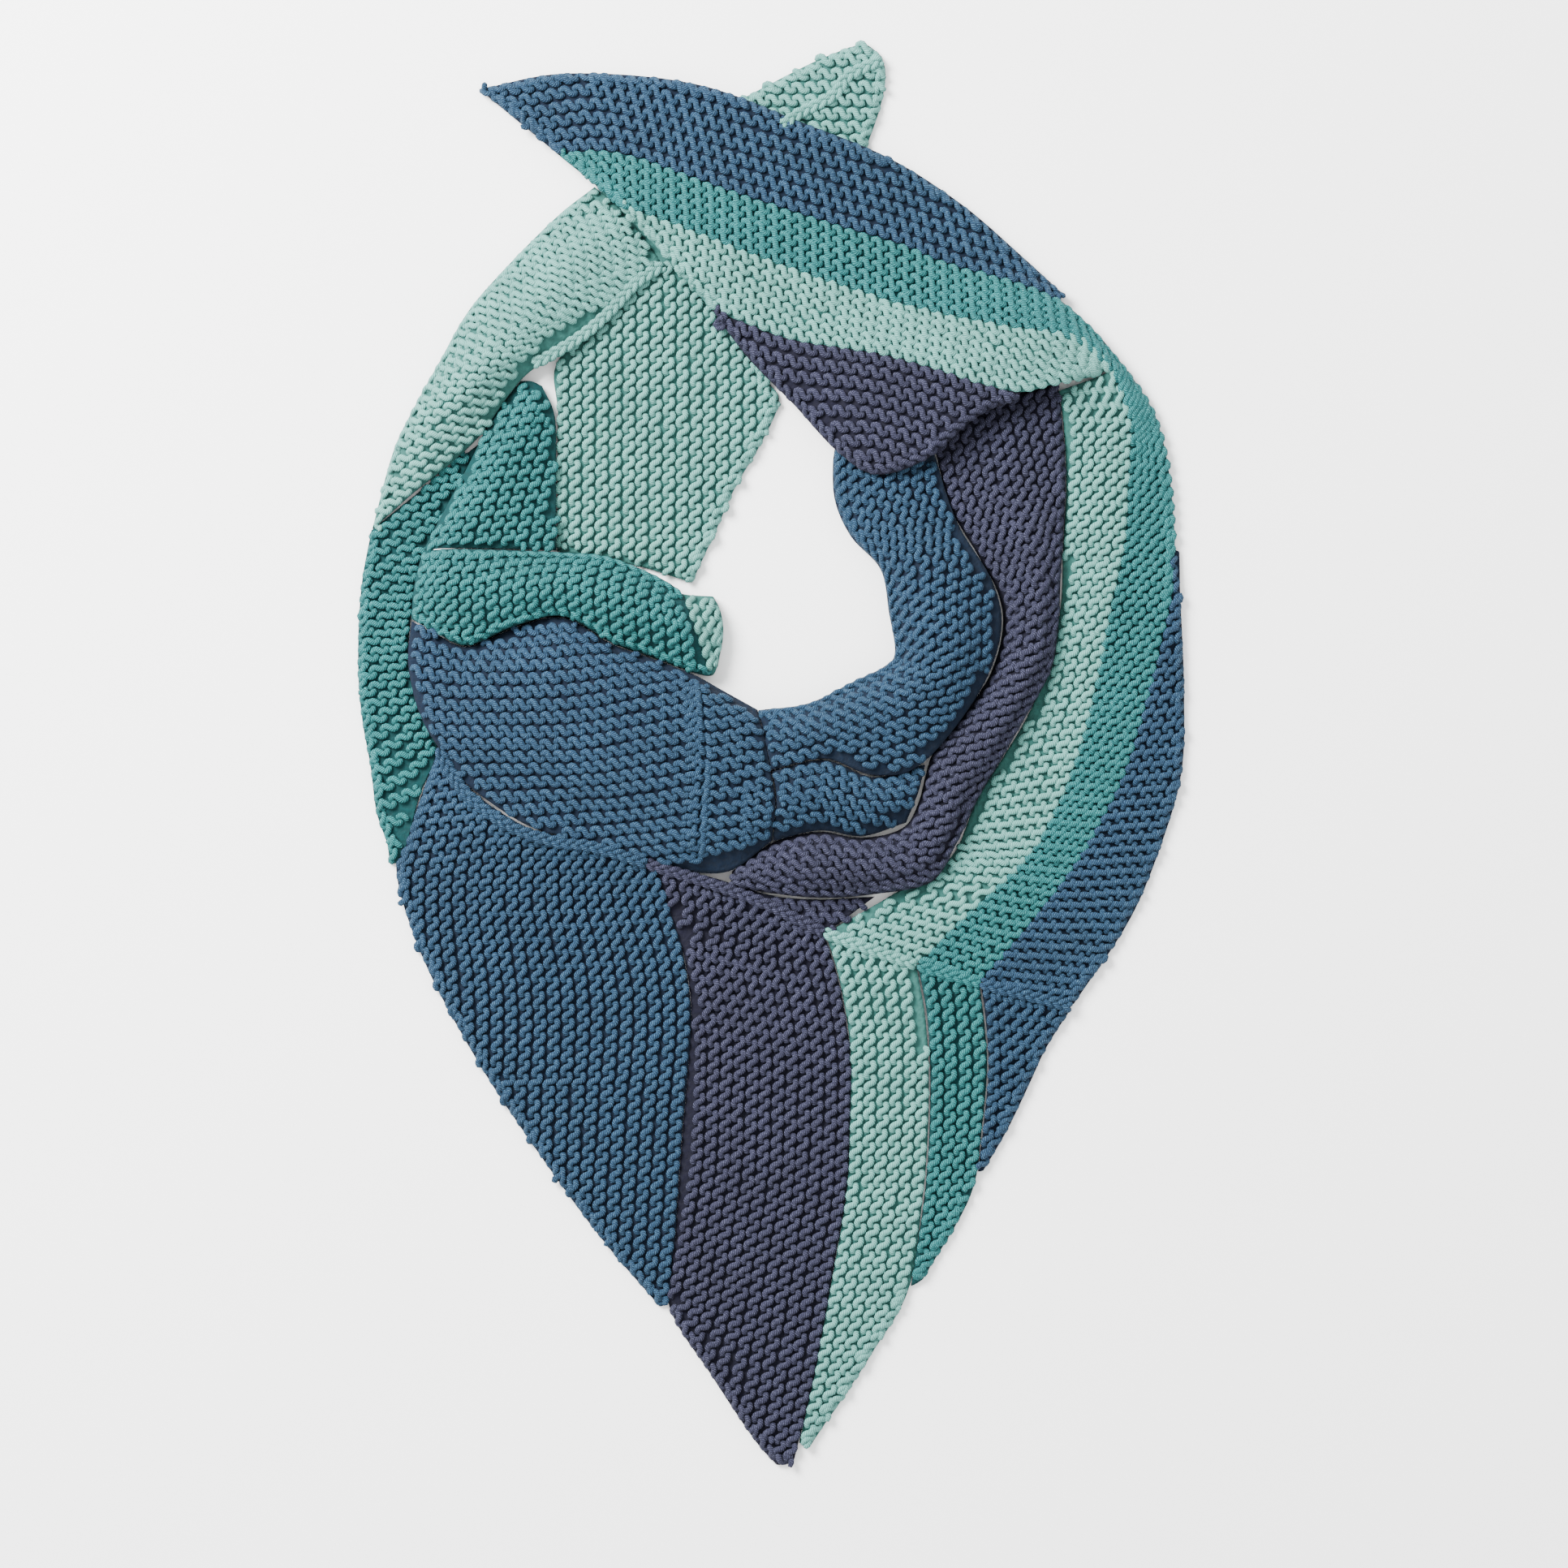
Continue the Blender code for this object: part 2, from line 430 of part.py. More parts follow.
def piece_grid(piece):
    """Points of a piece's upper side, with an extra row close to each edge for the rounding."""
    table = np.array(piece.stretch.sections, dtype=float)
    (l0, l1), (s0, s1) = piece.lines, piece.sections
    part = table[s0 : s1 + 1, l0 : l1 + 1]
    along_lengths = np.linalg.norm(np.diff(part, axis=0), axis=2).mean(axis=1)
    across_lengths = np.linalg.norm(np.diff(part, axis=1), axis=2).max(axis=0)
    along = positions(s0, s1, along_lengths, ROW_STEP)
    across = positions(l0, l1, across_lengths, COLUMN_STEP)
    return surface(piece.stretch, along, across)


def rim_places(grid):
    """Row and column of each point on the grid's edge, in order round it."""
    rows, columns = grid.shape[:2]
    down = [(i, 0) for i in range(rows)]
    right = [(rows - 1, j) for j in range(1, columns)]
    up = [(i, columns - 1) for i in range(rows - 2, -1, -1)]
    left = [(0, j) for j in range(columns - 2, 0, -1)]
    return down + right + up + left


def outline_of(grid):
    """Ring of the grid's edge in plan, without the last point repeated."""
    return np.array([grid[place][:2] for place in rim_places(grid)])


def inside(point, ring):
    """Whether a point in plan lies inside a ring."""
    x, y = point
    a, b = ring, np.roll(ring, -1, axis=0)
    crosses = (a[:, 1] > y) != (b[:, 1] > y)
    rise = np.where(crosses, b[:, 1] - a[:, 1], 1.0)
    at = a[:, 0] + (y - a[:, 1]) * (b[:, 0] - a[:, 0]) / rise
    return bool((crosses & (at > x)).sum() % 2)


def nearest(point, ring):
    """The nearest spot on a ring, the number of its edge and how far off it is."""
    a, b = ring, np.roll(ring, -1, axis=0)
    edge = b - a
    length = np.maximum((edge**2).sum(axis=1), 1e-9)
    part = np.clip(((point - a) * edge).sum(axis=1) / length, 0.0, 1.0)
    spots = a + edge * part[:, None]
    away = np.linalg.norm(point - spots, axis=1)
    best = int(away.argmin())
    return spots[best], best, float(away[best])


def beside(point, ring):
    """The point, brought to one seam gap outside the ring where it is inside it or close to it."""
    spot, _, away = nearest(point, ring)
    within = inside(point, ring)
    if away < 1e-3 or (not within and away > SNAP_REACH):
        return point
    outward = (spot - point if within else point - spot) / away
    return spot + outward * SEAM_GAP


def yielded(grid, ring):
    """The grid with its edge drawn back where a corner of the neighbour's outline would poke into it."""
    places = rim_places(grid)
    for corner in ring:
        own = np.array([grid[place][:2] for place in places])
        spot, edge, away = nearest(corner, own)
        within = inside(corner, own)
        if not within and away > SEAM_GAP / 2:
            continue
        if away < 1e-3:
            continue
        inward = (corner - spot if within else spot - corner) / away
        push = away + SEAM_GAP if within else SEAM_GAP - away
        for place in (places[edge], places[(edge + 1) % len(places)]):
            grid[place][:2] += inward * push
    return grid


def drawn_in(grid, gap):
    """The grid with its four sides drawn in by half a seam gap."""
    grid = grid.copy()
    for edge, next_row in ((0, 1), (-1, -2)):
        for rows in (grid, grid.transpose(1, 0, 2)):
            inward = rows[next_row] - rows[edge]
            size = np.maximum(np.linalg.norm(inward[:, :2], axis=1), 1e-6)[:, None]
            rows[edge] += inward * np.minimum(gap / 2 / size, 0.3)
    return grid


def fitted(grid, rings):
    """The grid with its edge points brought up to the neighbours' outlines."""
    grid = grid.copy()
    for _ in range(2):
        for ring in rings:
            for place in rim_places(grid):
                grid[place][:2] = beside(grid[place][:2], ring)
    for _ in range(2):
        for ring in rings:
            grid = yielded(grid, ring)
    return grid


def with_soft_rows(grid, amount):
    """The grid with one more row just inside each side, where the rounding of the edge starts."""
    for axis in (0, 1):
        rows = grid if axis == 0 else grid.transpose(1, 0, 2)
        extra = []
        for edge, next_row in ((0, 1), (-1, -2)):
            step = rows[next_row] - rows[edge]
            size = np.maximum(np.linalg.norm(step[:, :2], axis=1), 1e-6)[:, None]
            extra.append(rows[edge] + step * np.minimum(amount / size, 0.45))
        rows = np.concatenate([rows[:1], extra[0][None], rows[1:-1], extra[1][None], rows[-1:]])
        grid = rows if axis == 0 else rows.transpose(1, 0, 2)
    return grid


def solid_points(grid, heaped):
    """Upper and lower points of the cloth: edges are rounded, folded heaps reach down to the table."""
    top = with_soft_rows(grid, SOFT_EDGE)
    bottom = top.copy()
    bottom[:, :, 2] = TABLE_TOP if heaped else np.maximum(top[:, :, 2] - CLOTH, TABLE_TOP)
    rim = np.zeros(top.shape[:2], dtype=bool)
    rim[[0, -1]] = True
    rim[:, [0, -1]] = True
    drop = np.minimum(SOFT_EDGE, (top[:, :, 2] - bottom[:, :, 2] - THIN_EDGE) / 2)
    drop = np.maximum(drop, 0.0)
    top[:, :, 2] -= np.where(rim, drop, 0.0)
    lifted = rim & (bottom[:, :, 2] > TABLE_TOP + 1e-6)
    bottom[:, :, 2] += np.where(lifted, drop, 0.0)
    return top, bottom


def cloth_solid(name, top, bottom, material, collection):
    """One closed solid between the upper and the lower points."""
    rows, columns = top.shape[:2]
    top = (top - PLAN_CENTRE) * MM
    bottom = (bottom - PLAN_CENTRE) * MM
    mesh = bmesh.new()
    upper = [[mesh.verts.new(top[i, j]) for j in range(columns)] for i in range(rows)]
    lower = [[mesh.verts.new(bottom[i, j]) for j in range(columns)] for i in range(rows)]
    for i in range(rows - 1):
        for j in range(columns - 1):
            mesh.faces.new((upper[i][j], upper[i + 1][j], upper[i + 1][j + 1], upper[i][j + 1]))
            mesh.faces.new((lower[i][j], lower[i][j + 1], lower[i + 1][j + 1], lower[i + 1][j]))
    for j in range(columns - 1):
        mesh.faces.new((upper[0][j], upper[0][j + 1], lower[0][j + 1], lower[0][j]))
        mesh.faces.new((upper[-1][j], lower[-1][j], lower[-1][j + 1], upper[-1][j + 1]))
    for i in range(rows - 1):
        mesh.faces.new((upper[i][0], lower[i][0], lower[i + 1][0], upper[i + 1][0]))
        mesh.faces.new((upper[i][-1], upper[i + 1][-1], lower[i + 1][-1], lower[i][-1]))
    bmesh.ops.triangulate(mesh, faces=mesh.faces[:])
    bmesh.ops.recalc_face_normals(mesh, faces=mesh.faces[:])
    if mesh.calc_volume(signed=True) < 0:
        bmesh.ops.reverse_faces(mesh, faces=mesh.faces[:])
    data = bpy.data.meshes.new(name)
    mesh.to_mesh(data)
    mesh.free()
    data.polygons.foreach_set("use_smooth", [True] * len(data.polygons))
    item = bpy.data.objects.new(name, data)
    item.data.materials.append(material)
    collection.objects.link(item)
    return item


def yarn_material(node, yarn):
    """A matt wool finish in the yarn's colour, one for each node."""
    colour, roughness = YARNS[yarn]
    material = bpy.data.materials.new(f"{node}_{yarn}_wool")
    material.use_nodes = True
    shader = material.node_tree.nodes["Principled BSDF"]
    shader.inputs["Base Color"].default_value = (*colour, 1.0)
    shader.inputs["Roughness"].default_value = roughness
    shader.inputs["Metallic"].default_value = 0.0
    return material


def neighbours(piece, rings):
    """Outlines of the solids made before that lie beside this piece, not over or under it."""
    beside_wing = piece.level == 3
    found = []
    for other, ring in rings:
        if other.stretch is piece.stretch:
            continue
        if piece.level == 2 or (other.level == 2 and not beside_wing):
            continue
        found.append(ring)
    return found


def main():
    """Clear the scene and build every solid of the shawl."""
    for item in list(bpy.data.objects):
        bpy.data.objects.remove(item, do_unlink=True)
    collection = bpy.data.collections.new("knitted_shawl")
    bpy.context.scene.collection.children.link(collection)
    rings = []
    for piece in PIECES:
        grid = drawn_in(piece_grid(piece), SEAM_GAP)
        grid = fitted(grid, neighbours(piece, rings))
        rings.append((piece, outline_of(grid)))
        top, bottom = solid_points(grid, piece.heaped)
        cloth_solid(piece.node, top, bottom, yarn_material(piece.node, piece.yarn), collection)


main()
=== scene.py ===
"""Looks of the knitted shawl: every ridge of its garter stitch is laid in yarn over the solids.

Tables are in millimetres on the plan of the laid shawl, as in the part's source, and meshes in metres.
"""

import logging
from dataclasses import dataclass, field
from enum import Enum

import bpy
import numpy as np
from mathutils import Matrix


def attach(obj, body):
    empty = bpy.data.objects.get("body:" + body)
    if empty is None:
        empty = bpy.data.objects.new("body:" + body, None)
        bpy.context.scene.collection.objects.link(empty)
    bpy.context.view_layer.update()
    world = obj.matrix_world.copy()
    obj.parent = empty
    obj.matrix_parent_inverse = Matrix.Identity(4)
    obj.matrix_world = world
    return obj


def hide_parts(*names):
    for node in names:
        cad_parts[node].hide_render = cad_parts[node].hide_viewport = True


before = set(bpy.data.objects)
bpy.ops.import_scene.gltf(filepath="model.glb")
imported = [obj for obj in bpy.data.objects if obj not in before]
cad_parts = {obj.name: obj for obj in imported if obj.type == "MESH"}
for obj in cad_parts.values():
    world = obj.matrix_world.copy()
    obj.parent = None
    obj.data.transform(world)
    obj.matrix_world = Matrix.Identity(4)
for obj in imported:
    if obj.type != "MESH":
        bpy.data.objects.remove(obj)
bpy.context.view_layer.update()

MM = 0.001
CLOTH = 4.6
PLAN_CENTRE = np.array((-0.2973, 0.4301, 0.0))
FINE_STEP = 2.0  # distance between the points of a fine grid
BACKING_DROP = 2.5  # how far the backing lies under the tops of the stitches
YARN_DEPTH = 1.35  # how far the yarn's middle lies under the cloth's outer face
log = logging.getLogger("shawl")


@dataclass(frozen=True)
class Stretch:
    """One stretch of cloth: its lines are the columns, its sections the rows, each cell is x, y and height."""

    lines: tuple
    sections: tuple


# The end that crosses on top, from its knitted side edge at the left to the bend at the right
WING = Stretch(
    ("bind_off", "navy_teal", "teal_mint", "mint_aubergine", "lip"),
    (
        ((-122.5, 279, 4.6), (-89.5, 251.5, 7.5), (-64, 229, 13.2), (-25, 186, 10.8), (-22.5, 182.5, 10.4)),
        ((-85, 285.5, 4.9), (-63, 251, 11), (-40, 221.5, 14), (-9, 179.5, 11.5), (-9, 165, 10.4)),
        ((-32, 280.5, 8.8), (-20, 236, 13), (-8, 209, 13.5), (8, 173.5, 12.5), (9, 146.7, 11.5)),
        ((15, 263, 12.2), (20, 223, 13.5), (25, 197, 14.5), (28, 170, 15), (27, 127, 15)),
        ((50, 249, 9.2), (50, 214, 13.8), (50, 189, 16), (48, 166.5, 17.5), (43.5, 117, 17)),
        ((80, 230, 6.8), (77, 204, 13.5), (75, 183, 17.5), (70, 160, 20), (64.5, 123.5, 18)),
        ((104, 209.5, 5.2), (100, 198, 12.5), (98, 178.5, 18.5), (88, 154, 21.5), (85, 140.5, 20.5)),
        ((122.5, 192.5, 4.6), (119.5, 190.5, 9.5), (118, 176.3, 17), (103.5, 151, 20.5), (102.5, 148, 20)),
        ((137, 178, 4.6), (135.5, 177, 6), (131, 172, 13.5), (119, 155, 17.5), (118.5, 153.5, 17)),
        (
            (149.5, 161.5, 4.6), (148.5, 161.5, 5.2), (142.5, 161.5, 11.8),
            (131.5, 157.5, 12), (130.5, 156.5, 12),
        ),
    ),
)

# The folded layers that the wing lies on, which do not show
WING_CORE = Stretch(
    ("outer", "middle", "inner"),
    (
        ((46, 226, 5), (38, 197, 8), (31, 166, 8)),
        ((72, 211, 5.8), (66, 190, 11.2), (60, 161, 13)),
        ((98, 195, 6.6), (94, 180, 12.8), (87, 164, 14.8)),
        ((121, 177, 7.2), (119, 170, 11), (115, 162.5, 12)),
    ),
)

# The start of the knitting: its tip shows above the wing, the rest lies under the wing
START = Stretch(
    ("outer_edge", "spine", "inner_edge"),
    (
        ((32.5, 296.5, 4.6), (39.5, 297.5, 4.6), (46, 292.5, 4.6)),
        ((19, 291, 4.6), (32, 284, 5.6), (47.6, 285, 4.6)),
        ((3, 283, 4.6), (22, 273, 6), (45.5, 272, 4.6)),
        ((-14, 274, 4.6), (10, 264, 6), (40, 256, 4.6)),
        ((-35, 262, 4.6), (-8, 246, 6), (28, 225, 4.6)),
        ((-56, 250, 4.6), (-28, 228, 6), (10, 200, 4.6)),
        ((-73.5, 238.5, 4.6), (-46.5, 207.5, 6), (-6, 178, 4.6)),
    ),
)

# Left front: the raised mint fold between the outline and the spine, down to its teal seam
LEFT_FOLD = Stretch(
    ("outline", "outer_slope", "crest", "spine"),
    (
        ((-74.2, 238, 4.6), (-66, 231, 6), (-57, 221, 6.6), (-47, 207, 6.6)),
        ((-90, 225.5, 4.6), (-80, 220, 9), (-68, 212, 10.5), (-53, 199.5, 8)),
        ((-111.5, 204, 4.6), (-100, 201, 11), (-86, 197, 14), (-66, 187, 8.5)),
        ((-127, 186, 4.6), (-116, 184, 13), (-101, 181, 17.5), (-80, 173, 9)),
        ((-139, 165, 4.6), (-128, 166, 14), (-115, 165.5, 19), (-99.5, 161.5, 10)),
        ((-149, 147, 4.6), (-139, 150, 13), (-127, 152, 18), (-109, 151.5, 10)),
        ((-158.5, 127, 4.6), (-150, 131, 10), (-139, 134.5, 14), (-121.5, 134.3, 9)),
        ((-167.2, 95, 4.6), (-159, 102, 6), (-149, 110.5, 7.5), (-133.5, 122.7, 7)),
    ),
)

# Left edge band in teal, from the mint seam down to its own tip
LEFT_BAND = Stretch(
    ("outline", "outer", "inner", "valley"),
    (
        ((-167.6, 94.3, 4.6), (-150.5, 108, 5), (-134, 121.5, 5), (-122.5, 130.5, 4.8)),
        ((-171.5, 73, 4.6), (-158, 86, 5), (-146, 98, 5), (-132, 111.5, 4.8)),
        ((-173, 52, 4.6), (-165, 61, 5), (-157, 70, 5), (-146, 83, 5)),
        ((-173, 32, 4.6), (-167, 36, 5), (-160, 41, 5), (-152.2, 46, 5)),
        ((-171.3, 14, 4.6), (-164, 17, 5), (-157, 20, 5), (-148.5, 23.5, 5)),
        ((-168, -4.4, 4.6), (-159, -2, 5), (-151, 0, 5), (-140.2, 2.7, 5)),
        ((-165.5, -23.5, 4.6), (-160, -21, 5), (-154, -18.5, 5), (-147, -15.5, 5)),
        ((-161, -37, 4.6), (-158.5, -36, 4.8), (-155.5, -35, 5), (-152, -34, 5)),
        ((-160.2, -44.6, 4.6), (-158.8, -45, 4.6), (-157.2, -45, 4.6), (-155.4, -44.2, 4.6)),
    ),
)

# The flat mint panel inside the left front, bounded by the spine, the neck opening and the teal folds
PANEL = Stretch(
    ("spine_side", "middle", "opening_edge"),
    (
        ((-50.5, 209, 6.3), (-27, 203, 5), (-2, 186, 4.6)),
        ((-67, 184, 6.5), (-40, 172, 4.6), (-3, 160, 4.6)),
        ((-89.5, 165, 6.5), (-46, 150, 4.6), (3, 148.5, 4.6)),
        ((-89.5, 143, 4.8), (-48, 130, 4.6), (-5.5, 129, 4.6)),
        ((-89.5, 117, 4.8), (-50, 112, 4.6), (-15, 113, 4.6)),
        ((-89.5, 100, 4.8), (-54, 96, 4.6), (-24, 93, 4.6)),
        ((-89.5, 85.5, 4.8), (-60, 80.5, 4.6), (-33.5, 72.5, 4.6)),
    ),
)

# Teal triangle beside the panel: it rises to the left and drops to the left band
TRIANGLE = Stretch(
    ("valley", "crest", "panel_side"),
    (
        ((-105, 156.5, 7), (-100.5, 156.5, 7.5), (-96, 154.5, 7)),
        ((-117, 140.5, 8), (-104, 140, 13.5), (-90.8, 142, 7.5)),
        ((-126.5, 121.5, 10), (-113, 121, 16.5), (-90.2, 121, 8)),
        ((-137, 101.5, 11), (-124, 102, 18.5), (-90.2, 102, 9)),
        ((-145.2, 85.5, 12), (-132, 86.2, 19.5), (-90.2, 85.8, 11)),
    ),
)

# Teal roll that lies over the neck, from the left band to the opening, and its mint end
TEAL_ROLL = Stretch(
    ("upper_lip", "upper_slope", "crest", "lower_lip"),
    (
        ((-145.5, 84.8, 12), (-148, 76, 12.5), (-149.5, 67, 12.5), (-150.3, 57, 12)),
        ((-138, 85.6, 18.5), (-139, 77, 20), (-140, 66, 20), (-141, 52, 14)),
        ((-124, 85.6, 20), (-125, 77, 22.5), (-126, 64, 22.5), (-127, 46, 13.5)),
        ((-105, 85.2, 17), (-106, 77, 23), (-106.5, 67, 24.5), (-107, 54, 16.5)),
        ((-88, 84.6, 14.5), (-87.5, 77, 21.5), (-87, 68, 24.5), (-87, 58, 18)),
        ((-71, 83.4, 13), (-70, 75, 20.5), (-69, 63, 24.5), (-67, 47.3, 16)),
        ((-55, 78, 12), (-53.5, 70, 19.5), (-52, 58, 23), (-49, 40.8, 13.5)),
        ((-42, 71.5, 11), (-40, 64, 17), (-38, 53, 20), (-33, 34.8, 12)),
        ((-37.3, 67.5, 10.5), (-34.5, 62, 14.5), (-31.5, 53, 16), (-25.3, 33.5, 10)),
        ((-24.5, 66.5, 8), (-21.5, 60.5, 8.5), (-20.3, 51, 8.5), (-22.6, 37.5, 8)),
    ),
)

# Wide denim dome under the teal roll: from the left fold edge to below the neck opening
DOME = Stretch(
    ("roll_side", "upper", "crest", "foot", "spine"),
    (
        ((-150.2, 56, 11.5), (-151.6, 40, 13), (-149, 24, 12), (-144.5, 12, 10), (-139.6, 3.8, 8.5)),
        ((-141, 51.2, 12.5), (-142, 38, 15.5), (-141, 20, 15.5), (-138.5, 6, 12.5), (-134.5, -3.5, 10)),
        ((-127, 45.3, 11.5), (-128, 33, 18), (-128, 14, 18.5), (-127, -1, 14), (-126, -13, 12)),
        ((-107, 53.3, 12), (-105, 35, 22), (-104, 8, 21.5), (-103, -11, 14.5), (-104, -28, 13)),
        ((-87, 57.3, 16), (-83, 38, 25), (-82, 2, 23.5), (-80, -22, 13.5), (-85, -34.5, 12.5)),
        ((-67, 46.6, 15), (-61, 31, 25), (-58, -4, 25), (-63, -33, 13.5), (-66.5, -39.5, 11.8)),
        ((-49, 40, 14), (-44, 26, 23.5), (-40, -6, 25), (-42, -35, 18), (-45, -46, 10)),
        ((-33, 34, 12.5), (-29, 22, 21), (-27, -4, 24), (-27, -34, 19), (-30, -49, 10.5)),
        ((-21, 27.5, 10), (-18, 17, 18.5), (-15, -5, 22), (-14, -28, 20), (-16, -47.5, 12)),
        ((-6, 19.2, 8.5), (-3.5, 9, 17), (-0.5, -6, 19.5), (1.5, -20, 20.5), (0, -35.5, 14)),
    ),
)

# Denim roll round the bottom and the right of the neck opening, up to where it goes under the wing
NECK_ROLL = Stretch(
    ("opening_edge", "inner_slope", "crest", "outer_lip"),
    (
        ((-5.6, 19, 8.5), (-4, 12.5, 14), (-2.5, 5, 18), (0, -6, 19.3)),
        ((15, 21.8, 8), (16.5, 16, 16), (18.5, 10, 19), (22, -1.2, 17)),
        ((33, 30.4, 8), (34.5, 24, 17.5), (38, 14, 22), (43, -8.2, 15)),
        ((47, 37.3, 8), (51, 31, 18), (56, 21, 23), (63, -3, 15)),
        ((51.5, 43.5, 8), (60, 41, 19), (71, 38, 23.5), (86.5, 26.5, 14)),
        ((49, 60, 8), (58, 58, 18), (74, 55.5, 23), (95.6, 52, 13)),
        ((45.5, 78, 8), (54, 77, 16.5), (70, 75, 21), (92, 72.5, 12)),
        ((33.3, 91.5, 7), (43, 93, 13.5), (57, 94.5, 17), (79, 94, 11)),
        ((26.6, 106, 6.5), (36, 107.5, 11.5), (49, 109, 14), (73, 109, 10)),
        ((25.5, 121, 6), (34, 123, 9.5), (46, 124, 11), (68.5, 124, 9)),
        ((27, 133, 5.5), (35, 135, 7.5), (47, 136, 8.5), (64, 136, 7.5)),
    ),
)

# Second denim fold, below the neck roll
NECK_FOLD = Stretch(
    ("roll_side", "upper", "crest", "lip"),
    (
        ((0.3, -6.6, 19.2), (1.5, -13, 20.5), (2, -21, 20), (0.5, -35.6, 13.5)),
        ((22, -2, 15.5), (22.5, -9, 18.5), (22.5, -18, 19), (20, -31.2, 12.5)),
        ((42.5, -9, 12), (43, -15, 16), (42, -23, 16.5), (38, -33.6, 11.5)),
        ((64, -3.8, 11), (62.5, -10, 12.5), (60.5, -17, 12.5), (56, -28, 10.5)),
    ),
)

# Aubergine roll: from under the wing down the right side and back to the left under the denim folds
AUBERGINE_ROLL = Stretch(
    ("inner_lip", "inner_slope", "crest", "outer_lip"),
    (
        ((66, 139, 6.5), (80, 143, 7.5), (99, 150, 8), (119.6, 156, 7)),
        ((70, 121.5, 6.8), (84, 121.5, 8.5), (103, 122, 10), (122.5, 125, 7.5)),
        ((75, 103.5, 7), (87, 103, 10), (105, 102, 12.5), (122.3, 100, 8)),
        ((86, 84.5, 7), (95, 82.5, 11), (109, 80, 15), (120.8, 78, 8.5)),
        ((95, 67.5, 7.5), (101, 65, 13), (111, 60, 16), (119.8, 56, 9)),
        ((96.6, 52, 7.5), (101.5, 48, 13.5), (109.5, 42, 16.5), (116.6, 36, 9.5)),
        ((91, 33, 7.5), (94.5, 29, 13.5), (100.5, 23, 16.5), (107, 18, 9.5)),
        ((78.5, 15, 8), (83, 11, 14), (89.5, 5, 16.5), (97, 0.5, 9.5)),
        ((67.2, 0.5, 9), (71, -5, 14), (78, -12.5, 16.5), (86.6, -17, 9.5)),
        ((61.5, -19.5, 9), (64.5, -25, 14), (70, -32, 16), (77, -37, 9.5)),
        ((54.5, -30.5, 8.5), (55.5, -37, 14), (59, -45, 16), (66, -53, 9.5)),
        ((37.5, -34.4, 9), (37, -40, 15), (37.5, -49, 16), (40, -58.2, 9.5)),
        ((19.5, -32, 10), (19, -38.5, 15.5), (19, -48.5, 17), (20, -59.4, 10)),
        ((0.8, -36.4, 10), (0.3, -41, 14), (0, -49, 15), (0, -57.5, 10)),
        ((-16.5, -48.3, 9.5), (-16.8, -50, 10.5), (-17, -52.4, 10.5), (-17.5, -54.6, 9.5)),
    ),
)

# Shadowed strip of the inner aubergine side that shows between the rolls and the spine
UNDER_STRIP = Stretch(
    ("roll_side", "spine"),
    (
        ((-45, -46.8, 9.5), (-49, -46.2, 10.5)),
        ((-24, -51.2, 8), (-26, -54.2, 9.5)),
        ((-1, -58.3, 7.5), (-3, -62.2, 9)),
        ((19, -60.2, 7), (10, -69, 8.5)),
        ((43, -59, 6.5), (22.4, -74.3, 8)),
    ),
)

# Right side, the lower layer from the bend under the wing down to the spine
RIGHT_BAND = Stretch(
    ("outline", "teal_navy", "mint_teal", "mint_middle", "roll_side"),
    (
        ((150.5, 160.8, 4.6), (149.4, 160.8, 5.2), (143, 160.6, 11.8), (132, 156.6, 9.5), (120, 152.5, 7)),
        ((162.5, 141, 4.6), (160.8, 141, 5), (150, 141, 9.5), (137, 141, 8.3), (122, 139, 6.5)),
        ((167.6, 117, 4.6), (166.4, 117, 5), (149.5, 117, 8.3), (137, 117, 8.3), (123.2, 115, 6)),
        ((170, 84, 4.6), (168.5, 86, 5), (147.2, 88, 8.3), (134, 88, 7.8), (122, 88, 5.6)),
        ((171.3, 60, 4.6), (166.3, 61, 6.5), (141.3, 60, 8.5), (130, 59, 7.3), (120, 56, 5)),
        ((172.6, 24, 4.6), (156.7, 24, 7.2), (134.4, 24, 8.5), (121, 23, 7.1), (108.8, 20, 5)),
        ((171.3, -8, 4.6), (147, -8, 7.2), (125, -8, 8.2), (108, -11, 7), (86.8, -17, 5)),
        ((162, -40, 4.6), (130, -40, 7.2), (109, -40, 8.2), (93, -42, 7), (74.6, -43, 5)),
        ((149, -70, 4.6), (110.5, -67, 7.2), (84.5, -64, 8.2), (66, -61, 7.4), (50, -58.5, 6)),
        ((126.3, -104, 4.8), (87.3, -94, 8), (61, -86.5, 8.6), (42, -80.3, 8.3), (23.2, -73.9, 8)),
    ),
)

